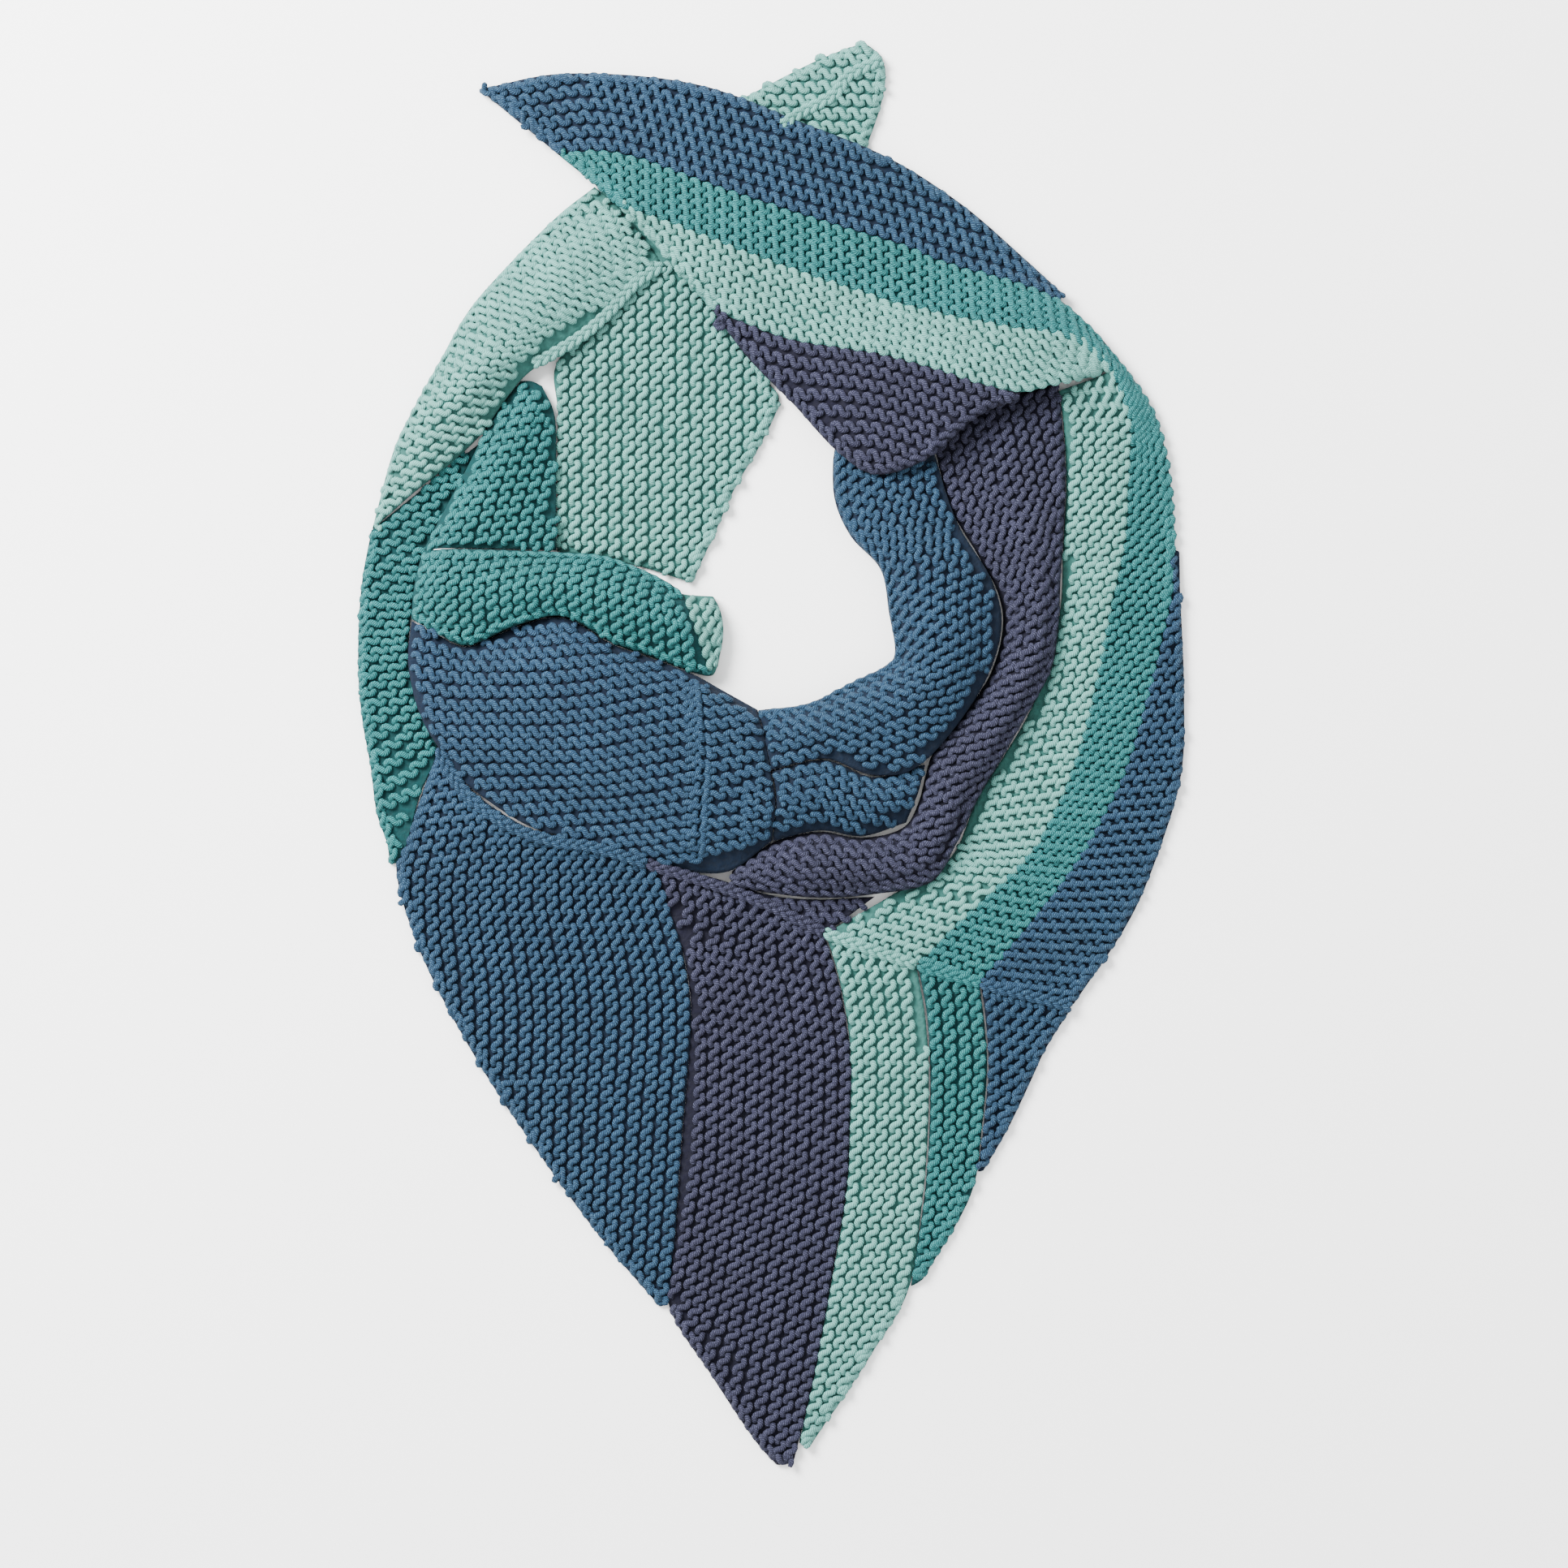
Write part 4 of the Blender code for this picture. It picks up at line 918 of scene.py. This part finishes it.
@dataclass(frozen=True)
class GarterStitch:
    """The stitch: how the yarn runs through one bump of a ridge, and how much stitches differ."""

    length: float = 5.7  # from one stitch to the next along a ridge
    radius: float = 1.42
    flatness: float = 0.86
    samples: int = 11
    sway: float = 0.22  # how far a stitch may lie out of line
    # sideways, along and outward
    turns: tuple = (
        (-1.55, 0.00, 0.00),
        (-1.15, 1.15, 0.20),
        (0.00, 1.80, 0.32),
        (1.15, 2.45, 0.20),
        (1.55, 3.60, 0.00),
        (1.15, 4.75, -0.55),
        (0.20, 4.90, -1.55),
        (-0.20, 4.40, -1.55),
        (-1.15, 4.55, -0.55),
    )

    def wave(self) -> np.ndarray:
        """The yarn's way through one stitch, as evenly spaced points."""
        table = np.array(self.turns)
        shift = np.array((0.0, self.length, 0.0))
        around = np.concatenate([table - shift, table, table + shift])
        count = len(table)
        return smooth(around, count + np.arange(self.samples) * count / self.samples)

    def lay(self, ridge: Ridge, mesh: YarnMesh, rng: np.random.Generator, size: float = 1.0) -> int:
        """Lay the yarn of one ridge.

        Args:
            ridge: The ridge.
            mesh: Where the yarn goes.
            rng: Source of the small differences between stitches.
            size: Scale of the stitch.

        Returns:
            How many stitches it has.
        """
        length = self.length * size
        first, last = ridge.marks[0] / length, ridge.marks[-1] / length
        ticks = np.arange(int(np.ceil(first * self.samples)), int(np.floor(last * self.samples)) + 1)
        if len(ticks) < 5:
            return 0
        number, part = np.divmod(ticks, self.samples)
        wave = self.wave()[part] * size
        whole = ticks / self.samples - ticks[0] // self.samples
        count = int(whole.max()) + 3
        jitter = rng.normal(0.0, 1.0, (count, 4))
        low = whole.astype(int)
        mix = (whole - low)[:, None]
        sway = jitter[low] * (1 - mix) + jitter[low + 1] * mix
        across = wave[:, 0] * (1 + 0.07 * sway[:, 0]) + self.sway * sway[:, 1]
        onward = wave[:, 1] + self.sway * sway[:, 2]
        out = wave[:, 2] + 0.14 * sway[:, 3]
        spots, outward, beside = ridge.at(number * length + onward)
        path = spots + beside * across[:, None] + outward * out[:, None]
        mesh.add(path, outward, self.radius * size, self.flatness)
        return int(round(last - first))


STITCH = GarterStitch()


class Run(Enum):
    """Which way the ridges of a piece run."""

    ALONG = "along its lines"
    ACROSS = "across its lines"
    GUIDED = "along lines of their own"


@dataclass(frozen=True)
class Edge:
    """A free edge of a piece: one of its lines or sections, between two places on it."""

    on_line: bool
    number: int
    first: float
    last: float


LEAST_TOP = 1.2  # the lowest that the backing's outer face lies
LEAST_EDGE = 2.6  # the lowest that the middle of an edge ridge lies
SHORTEST_RIDGE = 2.0
WALE_STEP = 0.5  # how far each ridge's stitches lie ahead of the last ridge's
EDGE_LEAN = (0.75, 0.66)  # how far an edge ridge faces up, and how far it faces out
EDGE_INSET = 1.9  # how far an edge ridge lies inside the edge
EDGE_DROP = 0.5  # how much lower it lies than the other ridges
EDGE_SIZE = 0.92  # scale of its stitches
EDGE_POINTS = 160


@dataclass
class KnitPiece:
    """One stretch of knitting in one yarn: the cloth behind and the yarn ridges in front."""

    node: str
    stretch: Stretch
    yarn: Yarn
    lines: tuple
    sections: tuple
    heaped: bool = False
    run: Run = Run.ALONG
    from_last: bool = False  # ridges are counted from the last line instead of the first
    pitches: tuple = (5.6,)
    count: int = 0  # number of ridges where both sides are seams
    shared: float = 0.0  # how far stitches of neighbouring ridges keep level with the sections
    guide: Stretch | None = None
    edges: tuple = ()
    held: str = "laid"
    rests_on: tuple = ("floor",)
    knitted: bool = True

    def grid(self) -> tuple:
        """Fine points on the cloth's outer face, and the section number of each row."""
        return fine_grid(self.stretch, self.lines, self.sections, FINE_STEP)

    def ridge_grid(self) -> tuple:
        """Points whose rows run from ridge to ridge and whose columns run along them.

        Returns:
            The grid, and the section number of each row.
        """
        grid, places = self.grid()
        if self.run is Run.GUIDED:
            last_line, last_section = len(self.guide.lines) - 1, len(self.guide.sections) - 1
            plan, places = fine_grid(self.guide, (0, last_line), (0, last_section), FINE_STEP)
            plan = plan[:, :, :2]
            height = HeightMap(fine_grid(self.stretch, self.lines, self.sections, 0.9)[0]).at(plan)
            grid = np.concatenate([plan, height[:, :, None]], axis=2)
        elif self.run is Run.ACROSS:
            grid = grid.transpose(1, 0, 2)
            places = np.linspace(0.0, 1.0, len(grid))
        return (grid[:, ::-1] if self.from_last else grid), places

    def ridges(self) -> list:
        """Work out the lines of the ridges.

        Returns:
            The ridges, each cut where the piece ends.
        """
        grid, places = self.ridge_grid()
        forward = unit(np.gradient(grid, axis=0))
        normals = unit(np.cross(forward, np.gradient(grid, axis=1)))
        normals *= np.where(normals[..., 2:] < 0, -1.0, 1.0)
        step, middle = np.diff(grid, axis=1), unit(forward[:, 1:] + forward[:, :-1])
        level = step - (step * middle).sum(axis=-1, keepdims=True) * middle
        steps = np.cumsum(np.linalg.norm(level, axis=-1), axis=1)
        reach = np.concatenate([np.zeros((len(grid), 1)), steps], axis=1)
        pitch = np.interp(places - places[0], np.arange(len(self.pitches)), self.pitches)
        total = reach[:, -1]
        if self.count:
            pitch = total / self.count
        number = self.count or int(np.ceil((total / pitch).max()))
        columns = np.arange(grid.shape[1])
        found, lengths = [], []
        for j in range(number):
            wanted = (j + 0.5) * pitch
            place = np.array([np.interp(wanted[i], reach[i], columns) for i in range(len(grid))])
            low = np.minimum(place.astype(int), len(columns) - 2)
            part = (place - low)[:, None]
            rows = np.arange(len(grid))
            points = grid[rows, low] * (1 - part) + grid[rows, low + 1] * part
            outward = unit(normals[rows, low] * (1 - part) + normals[rows, low + 1] * part)
            whole = wanted < total - 0.3 * pitch
            if self.run is Run.GUIDED:
                whole &= inside(points[:, :2], edge_ring(self.grid()[0]))
            length = run_lengths(points)
            lengths.append(length - length[len(length) // 2])
            found.append((points - outward * YARN_DEPTH, outward, whole))
        return self.cut_ridges(found, lengths)

    def cut_ridges(self, found: list, lengths: list) -> list:
        """Cut the ridges where they leave the piece.

        Args:
            found: Points, outward directions and what lies in the piece, for each ridge.
            lengths: Length along each ridge, from its middle.

        Returns:
            The cut ridges.
        """
        level = lengths[len(lengths) // 2]
        ridges = []
        for j, (points, outward, whole) in enumerate(found):
            marks = (1 - self.shared) * lengths[j] + self.shared * level + WALE_STEP * j
            bounds = np.flatnonzero(np.diff(np.concatenate([[0], whole.astype(int), [0]])))
            for first, last in zip(bounds[::2], bounds[1::2]):
                if last - first >= 3 and marks[last - 1] - marks[first] > SHORTEST_RIDGE:
                    ridges.append(Ridge(points[first:last], outward[first:last], marks[first:last]))
        return ridges

    def edge_ridge(self, edge: Edge) -> Ridge:
        """Make the ridge that closes a free edge.

        Args:
            edge: The edge.

        Returns:
            A ridge that leans outward.
        """
        table = np.array(self.stretch.sections, dtype=float)
        rows = table if edge.on_line else table.transpose(1, 0, 2)
        places = np.linspace(edge.first, edge.last, EDGE_POINTS)
        line = smooth(rows[:, edge.number], places)
        limits = self.lines if edge.on_line else self.sections
        inner = edge.number + (1 if edge.number == limits[0] else -1)
        inward = smooth(rows[:, inner], places) - line
        forward = unit(np.gradient(line, axis=0))
        inward = unit(inward - (inward * forward).sum(axis=1, keepdims=True) * forward)
        normal = unit(np.cross(forward, inward))
        normal *= np.where(normal[:, 2:] < 0, -1.0, 1.0)
        outward = unit(normal * EDGE_LEAN[0] - inward * EDGE_LEAN[1])
        points = line + inward * EDGE_INSET - np.array((0.0, 0.0, YARN_DEPTH + EDGE_DROP))
        points[:, 2] = np.maximum(points[:, 2], LEAST_EDGE)
        length = run_lengths(points)
        return Ridge(points, outward, length)

    def backing(self) -> bpy.types.Object:
        """Make the closed shell of cloth that shows in the gaps between the ridges, finished in painted shade.
        """
        grid, _ = self.grid()
        top, bottom = grid.copy(), grid.copy()
        top[:, :, 2] = np.maximum(grid[:, :, 2] - BACKING_DROP, LEAST_TOP)
        bottom[:, :, 2] = 0.0 if self.heaped else np.maximum(grid[:, :, 2] - CLOTH, 0.0)
        rows, columns = grid.shape[:2]
        points = (np.concatenate([top.reshape(-1, 3), bottom.reshape(-1, 3)]) - PLAN_CENTRE) * MM
        index = np.arange(rows * columns).reshape(rows, columns)
        under = index + rows * columns
        faces = [
            np.stack([index[:-1, :-1], index[1:, :-1], index[1:, 1:], index[:-1, 1:]], axis=-1).reshape(-1, 4),
            np.stack([under[:-1, :-1], under[:-1, 1:], under[1:, 1:], under[1:, :-1]], axis=-1).reshape(-1, 4),
            np.stack([index[0, :-1], index[0, 1:], under[0, 1:], under[0, :-1]], axis=-1),
            np.stack([index[-1, :-1], under[-1, :-1], under[-1, 1:], index[-1, 1:]], axis=-1),
            np.stack([index[:-1, 0], under[:-1, 0], under[1:, 0], index[1:, 0]], axis=-1),
            np.stack([index[:-1, -1], index[1:, -1], under[1:, -1], under[:-1, -1]], axis=-1),
        ]
        quads = np.concatenate(faces)
        corner = points[[index[0, 0], index[1, 0], index[1, 1]]]
        if np.cross(corner[1] - corner[0], corner[2] - corner[0])[2] < 0:
            quads = quads[:, ::-1]
        return mesh_object(f"{self.node}_cloth", points, quads, self.yarn.value.material(Shade.GAP_SHADE))

    def flat_size(self, cloth: bpy.types.Object) -> tuple:
        """Width and length of the strip that this stretch was knitted as.

        Args:
            cloth: The closed shell, which has two faces for each bit of the strip.

        Returns:
            Width and length in metres.
        """
        grid, _ = self.grid()
        length = float(np.linalg.norm(np.diff(grid, axis=0), axis=2).sum(axis=0).mean()) * MM
        area = sum(face.area for face in cloth.data.polygons) / 2
        return area / length, length

    def build(self, rng: np.random.Generator) -> None:
        """Build and dress the piece, and log its stitches, triangles and cut size.

        Args:
            rng: Source of the small differences between stitches.
        """
        cloth = self.backing()
        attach(cloth, "root")
        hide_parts(self.node)
        stitches, mesh = 0, YarnMesh()
        if self.knitted:
            for ridge in self.ridges():
                stitches += STITCH.lay(ridge, mesh, rng)
            for edge in self.edges:
                stitches += STITCH.lay(self.edge_ridge(edge), mesh, rng, EDGE_SIZE)
            yarn = mesh.build(f"{self.node}_stitches", self.yarn.value.material(Shade.YARN))
            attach(yarn, "root")
        flat = self.flat_size(cloth)
        cut = [side / MM for side in flat]
        log.info("%s: %d stitches, %d triangles, cut %.0f x %.0f mm", self.node, stitches, mesh.triangles, *cut)


@dataclass(frozen=True)
class Spine:
    """Raised line of slipped stitches down the shawl's middle, in one yarn."""

    name: str
    yarn: Yarn
    course: tuple  # x and y along it
    strands: int = 3
    swing: float = 1.7
    rise: float = 0.8
    turn: float = 12.0  # length of one crossing of the strands
    radius: float = 1.15

    def build(self, heights: HeightMap) -> None:
        """Lay the crossing strands on the cloth.

        Args:
            heights: The cloth's outer face.
        """
        table = np.array(self.course, dtype=float)
        plan = smooth(table, np.linspace(0, len(table) - 1, 40 * len(table)))
        length = run_lengths(plan)
        steps = np.arange(0.0, length[-1], 0.9)
        plan = np.stack([np.interp(steps, length, plan[:, k]) for k in range(2)], axis=1)
        forward = unit(np.gradient(plan, axis=0))
        beside = np.stack([forward[:, 1], -forward[:, 0], np.zeros(len(plan))], axis=1)
        height = heights.at(plan)
        kernel = np.ones(9) / 9
        height = np.convolve(np.pad(height, 4, mode="edge"), kernel, mode="valid")
        mesh = YarnMesh()
        upward = np.tile((0.0, 0.0, 1.0), (len(plan), 1))
        for k in range(self.strands):
            phase = 2 * np.pi * (steps / self.turn + k / self.strands)
            path = np.concatenate([plan, (height - 0.7)[:, None]], axis=1)
            path = path + beside * (self.swing * np.sin(phase))[:, None]
            path[:, 2] += self.rise * np.sin(2 * phase)
            mesh.add(path, upward, self.radius, 0.95)
        made = mesh.build(self.name, self.yarn.value.material(Shade.YARN))
        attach(made, "root")
        log.info("%s: %d triangles", self.name, mesh.triangles)


@dataclass(frozen=True)
class Studio:
    """Pale floor, soft light from the upper left and a camera that looks straight down."""

    view: tuple = (0.0054, -0.0123)  # what lies in the middle of the picture
    width: float = 0.6569  # what the picture takes in
    lens: float = 110.0
    key_power: float = 130.0
    key_size: float = 0.9
    key_place: tuple = (-0.95, 0.85, 1.15)
    sky: float = 2.2
    floor_reach: float = 3.0
    floor_tone: float = 0.93

    def build(self) -> None:
        """Make the floor, the lights and the camera."""
        size = self.floor_reach
        mesh = bpy.data.meshes.new("floor")
        corners = [(-size, -size, 0), (size, -size, 0), (size, size, 0), (-size, size, 0)]
        mesh.from_pydata(corners, [], [(0, 1, 2, 3)])
        floor = bpy.data.objects.new("floor", mesh)
        paint = bpy.data.materials.new("floor_paint")
        paint.use_nodes = True
        shader = paint.node_tree.nodes["Principled BSDF"]
        shader.inputs["Base Color"].default_value = (*[self.floor_tone] * 3, 1.0)
        shader.inputs["Roughness"].default_value = 0.9
        shader.inputs["Specular IOR Level"].default_value = 0.1
        mesh.materials.append(paint)
        bpy.context.scene.collection.objects.link(floor)
        world = bpy.data.worlds.new("studio")
        world.use_nodes = True
        world.node_tree.nodes["Background"].inputs["Color"].default_value = (1.0, 1.0, 1.0, 1.0)
        world.node_tree.nodes["Background"].inputs["Strength"].default_value = self.sky
        bpy.context.scene.world = world
        self.lamp("key", self.key_place, self.key_power, self.key_size)
        camera = bpy.data.objects.new("camera", bpy.data.cameras.new("camera"))
        camera.data.lens = self.lens
        camera.data.sensor_width = 36.0
        camera.location = (*self.view, self.width / 36.0 * self.lens)
        bpy.context.scene.collection.objects.link(camera)
        bpy.context.scene.camera = camera
        log.info("studio: floor, key light and camera")

    def lamp(self, name: str, place: tuple, power: float, size: float) -> None:
        """Hang one soft light that points at the shawl.

        Args:
            name: The light's name.
            place: Where it hangs, in metres.
            power: Its power in watts.
            size: Its diameter in metres.
        """
        light = bpy.data.lights.new(name, "AREA")
        light.shape = "DISK"
        light.energy = power
        light.size = size
        lamp = bpy.data.objects.new(name, light)
        lamp.location = place
        back = np.array(place) / np.linalg.norm(place)
        lamp.rotation_euler = (float(np.arccos(back[2])), 0.0, float(np.arctan2(back[1], back[0]) + np.pi / 2))
        bpy.context.scene.collection.objects.link(lamp)


# Lines that the ridges follow where they cross the piece's own lines
PLAN_LINES = ("first", "second", "third", "last")
FOLD_RIDGES = Stretch(
    PLAN_LINES + ("top", "end"),
    (
        ((-172, 91.5), (-164, 121), (-150, 152), (-136, 182), (-116, 206), (-90, 232)),
        ((-150, 109), (-140, 140), (-125, 166), (-108, 190), (-90, 210), (-68, 233)),
        ((-122, 133), (-104, 162), (-84, 181), (-60, 193), (-38, 208), (-30, 230)),
    ),
)
BAND_RIDGES = Stretch(
    PLAN_LINES + ("fifth", "sixth", "end"),
    (
        ((-172, 90), (-176, 68), (-178, 45), (-179, 20), (-174, -6), (-166, -32), (-160, -55)),
        ((-150.5, 108), (-157, 84.5), (-160, 56), (-161, 33), (-158, 10), (-153.5, -12), (-150, -26)),
        ((-120, 138), (-130, 108), (-140, 68), (-145, 46), (-145, 25), (-142, 6), (-139, 5)),
    ),
)
TRIANGLE_RIDGES = Stretch(
    PLAN_LINES,
    (
        ((-134, 160), (-112, 160), (-91, 160), (-70, 160)),
        ((-142, 122), (-121, 122), (-100, 122), (-79, 122)),
        ((-151, 82), (-130, 82), (-109, 82), (-88, 82)),
    ),
)
PANEL_RIDGES = Stretch(
    PLAN_LINES,
    (
        ((-90, 208), (-58, 208), (-26, 208), (6, 208)),
        ((-90.5, 140), (-58, 140), (-26, 140), (6, 140)),
        ((-91, 68), (-59, 68), (-27, 68), (5, 68)),
    ),
)
DOME_RIDGES = Stretch(
    PLAN_LINES + ("fifth", "end"),
    (
        ((-153, 68), (-153, 40), (-153, 14), (-153, -8), (-153, -28), (-153, -46)),
        ((-121, 61), (-121, 33), (-121, 7), (-121, -15), (-121, -35), (-121, -53)),
        ((-84, 62), (-83, 36), (-82, 8), (-80, -18), (-80, -38), (-80, -56)),
        ((-44, 70), (-43, 44), (-40, 18), (-38, -8), (-40, -30), (-40, -49)),
        ((4, 84), (4, 58), (4, 31), (4, 6), (4, -16), (4, -36)),
    ),
)
DENIM_RIDGES = Stretch(
    PLAN_LINES,
    (
        ((-136, 12), (-108, -18), (-80, -30), (-49.8, -40)),
        ((-152, -32.5), (-115, -50), (-80.5, -57), (-42.5, -65)),
        ((-157, -60), (-117.5, -72), (-79, -76), (-37.5, -81)),
        ((-154, -105), (-114, -105), (-74, -107), (-33.8, -108)),
        ((-155, -150), (-116, -150), (-76, -150), (-36.8, -150)),
        ((-158, -200), (-119, -200), (-80, -200), (-40.4, -201)),
        ((-160, -233), (-121, -233), (-82, -233), (-43.4, -231)),
    ),
)
START_RIDGES = Stretch(
    PLAN_LINES[:2],
    (
        ((-60, 232), (-60, 300)),
        ((-5, 232), (-5, 300)),
        ((55, 232), (55, 300)),
    ),
)

PIECES = (
    KnitPiece(
        "wing_navy", WING, Yarn.DENIM, (0, 1), (0, 7), from_last=True,
        edges=(Edge(True, 0, 0, 7), Edge(False, 0, 0, 1)), held="folded",
        rests_on=("wing_core_cloth", "start_mint_cloth"),
    ),
    KnitPiece(
        "wing_teal", WING, Yarn.TEAL, (1, 2), (0, 9), count=5,
        edges=(Edge(False, 0, 1, 2), Edge(True, 1, 7, 9)), held="folded",
        rests_on=("wing_core_cloth", "left_fold_mint_cloth"),
    ),
    KnitPiece(
        "wing_mint", WING, Yarn.MINT, (2, 3), (0, 9), count=6, edges=(Edge(False, 0, 2, 3),), held="folded",
        rests_on=("wing_core_cloth", "left_fold_mint_cloth"),
    ),
    KnitPiece(
        "wing_aubergine", WING, Yarn.AUBERGINE, (3, 4), (0, 7),
        edges=(Edge(True, 4, 0, 7), Edge(False, 0, 3, 4)), held="folded",
        rests_on=("neck_roll_cloth", "roll_aubergine_cloth"),
    ),
    KnitPiece(
        "wing_core", WING_CORE, Yarn.AUBERGINE, (0, 2), (0, 3), heaped=True, knitted=False, held="folded",
    ),
    KnitPiece(
        "roll_teal", TEAL_ROLL, Yarn.TEAL, (0, 3), (0, 8), heaped=True, run=Run.ACROSS,
        edges=(Edge(True, 0, 0, 8), Edge(True, 3, 0, 8)), held="folded",
    ),
    KnitPiece(
        "roll_mint", TEAL_ROLL, Yarn.MINT, (0, 3), (8, 9), heaped=True, run=Run.ACROSS,
        edges=(Edge(False, 9, 0, 3),), held="folded",
    ),
    KnitPiece(
        "neck_roll", NECK_ROLL, Yarn.DENIM, (0, 3), (0, 10), heaped=True, edges=(Edge(True, 0, 0, 10),),
        held="folded",
    ),
    KnitPiece(
        "neck_dome", DOME, Yarn.DENIM, (0, 4), (0, 9), heaped=True, run=Run.GUIDED, guide=DOME_RIDGES,
        held="folded",
    ),
    KnitPiece("neck_fold", NECK_FOLD, Yarn.DENIM, (0, 3), (0, 3), heaped=True, held="folded"),
    KnitPiece(
        "roll_aubergine", AUBERGINE_ROLL, Yarn.AUBERGINE, (0, 3), (0, 14), heaped=True,
        edges=(Edge(True, 3, 0, 14),), held="folded",
    ),
    KnitPiece(
        "left_fold_mint", LEFT_FOLD, Yarn.MINT, (0, 3), (0, 7), run=Run.GUIDED, guide=FOLD_RIDGES,
        edges=(Edge(True, 0, 0, 7),),
    ),
    KnitPiece(
        "start_mint", START, Yarn.MINT, (0, 2), (0, 6), run=Run.GUIDED, guide=START_RIDGES,
        edges=(Edge(True, 0, 0, 4), Edge(True, 2, 0, 4), Edge(False, 0, 0, 2)),
    ),
    KnitPiece("triangle_teal", TRIANGLE, Yarn.TEAL, (0, 2), (0, 4), run=Run.GUIDED, guide=TRIANGLE_RIDGES),
    KnitPiece(
        "panel_mint", PANEL, Yarn.MINT, (0, 2), (0, 6), run=Run.GUIDED, guide=PANEL_RIDGES,
        edges=(Edge(True, 2, 0, 6),),
    ),
    KnitPiece(
        "left_teal", LEFT_BAND, Yarn.TEAL, (0, 3), (0, 8), run=Run.GUIDED, guide=BAND_RIDGES,
        edges=(Edge(True, 0, 0, 8),),
    ),
    KnitPiece(
        "right_navy", RIGHT_BAND, Yarn.DENIM, (0, 1), (3, 9), from_last=True,
        pitches=(5.0, 5.0, 5.0, 4.9, 4.8, 4.5, 4.3), shared=0.8, edges=(Edge(True, 0, 3, 9),),
    ),
    KnitPiece(
        "right_teal", RIGHT_BAND, Yarn.TEAL, (1, 2), (0, 9), count=5, shared=0.8, edges=(Edge(True, 1, 0, 4),),
    ),
    KnitPiece(
        "right_mint", RIGHT_BAND, Yarn.MINT, (2, 4), (0, 9),
        pitches=(5.2, 5.2, 5.2, 5.1, 5.0, 5.0, 4.9, 4.7, 4.4, 4.2), shared=0.8,
    ),
    KnitPiece("under_aubergine", UNDER_STRIP, Yarn.AUBERGINE, (0, 1), (0, 4)),
    KnitPiece(
        "front_denim", FRONT_DENIM, Yarn.DENIM, (0, 5), (0, 7), run=Run.GUIDED, guide=DENIM_RIDGES, count=20,
        edges=(Edge(True, 0, 0, 7),),
    ),
    KnitPiece(
        "front_aubergine", FRONT_AUBERGINE, Yarn.AUBERGINE, (0, 4), (0, 10), from_last=True, pitches=(5.55,),
        edges=(Edge(True, 0, 7, 10), Edge(False, 10, 0, 4)),
    ),
    KnitPiece(
        "front_mint", FRONT_MINT, Yarn.MINT, (0, 2), (0, 9), pitches=(5.9, 5.75, 5.45, 5.4, 5.3, 5.3),
        edges=(Edge(True, 2, 5, 9),),
    ),
    KnitPiece(
        "front_teal", FRONT_TEAL, Yarn.TEAL, (0, 2), (0, 5), pitches=(6.0, 5.9, 5.9, 5.4, 5.0, 5.0),
        edges=(Edge(True, 2, 4, 5),),
    ),
    KnitPiece(
        "front_navy", FRONT_NAVY, Yarn.DENIM, (0, 2), (0, 4), pitches=(5.4,), edges=(Edge(True, 2, 0, 4),),
    ),
)

SPINES = (
    Spine("spine_tip", Yarn.MINT, ((46, 291), (32, 284), (26, 276), (13, 269), (4, 262))),
    Spine(
        "spine_upper", Yarn.MINT,
        ((-45, 205), (-50, 202), (-57, 197), (-67, 186), (-78, 176), (-92, 167), (-100, 163)),
    ),
    Spine("spine_denim", Yarn.DENIM, ((-139, 3), (-128, -15), (-110, -29), (-90, -36), (-75, -38), (-52, -45))),
    Spine("spine_aubergine", Yarn.AUBERGINE, ((-52, -45), (-30, -52), (-7, -60), (10, -68), (22, -74))),
    Spine("spine_mint", Yarn.MINT, ((22, -74), (41, -81), (61, -87.5))),
    Spine("spine_teal", Yarn.TEAL, ((61, -87.5), (74, -91.5), (87, -95))),
    Spine("spine_navy", Yarn.DENIM, ((87, -95), (106, -100), (126, -105))),
)


def main() -> None:
    """Build the studio and every piece of the shawl, in the order in which it is laid."""
    logging.basicConfig(level=logging.INFO, format="%(name)s: %(message)s")
    Studio().build()
    rng = np.random.default_rng(11)
    for piece in PIECES:
        piece.build(rng)
    samples = np.concatenate([fine_grid(p.stretch, p.lines, p.sections, 1.0)[0].reshape(-1, 3) for p in PIECES])
    heights = HeightMap(samples)
    for spine in SPINES:
        spine.build(heights)


if __name__ == "__main__":
    main()
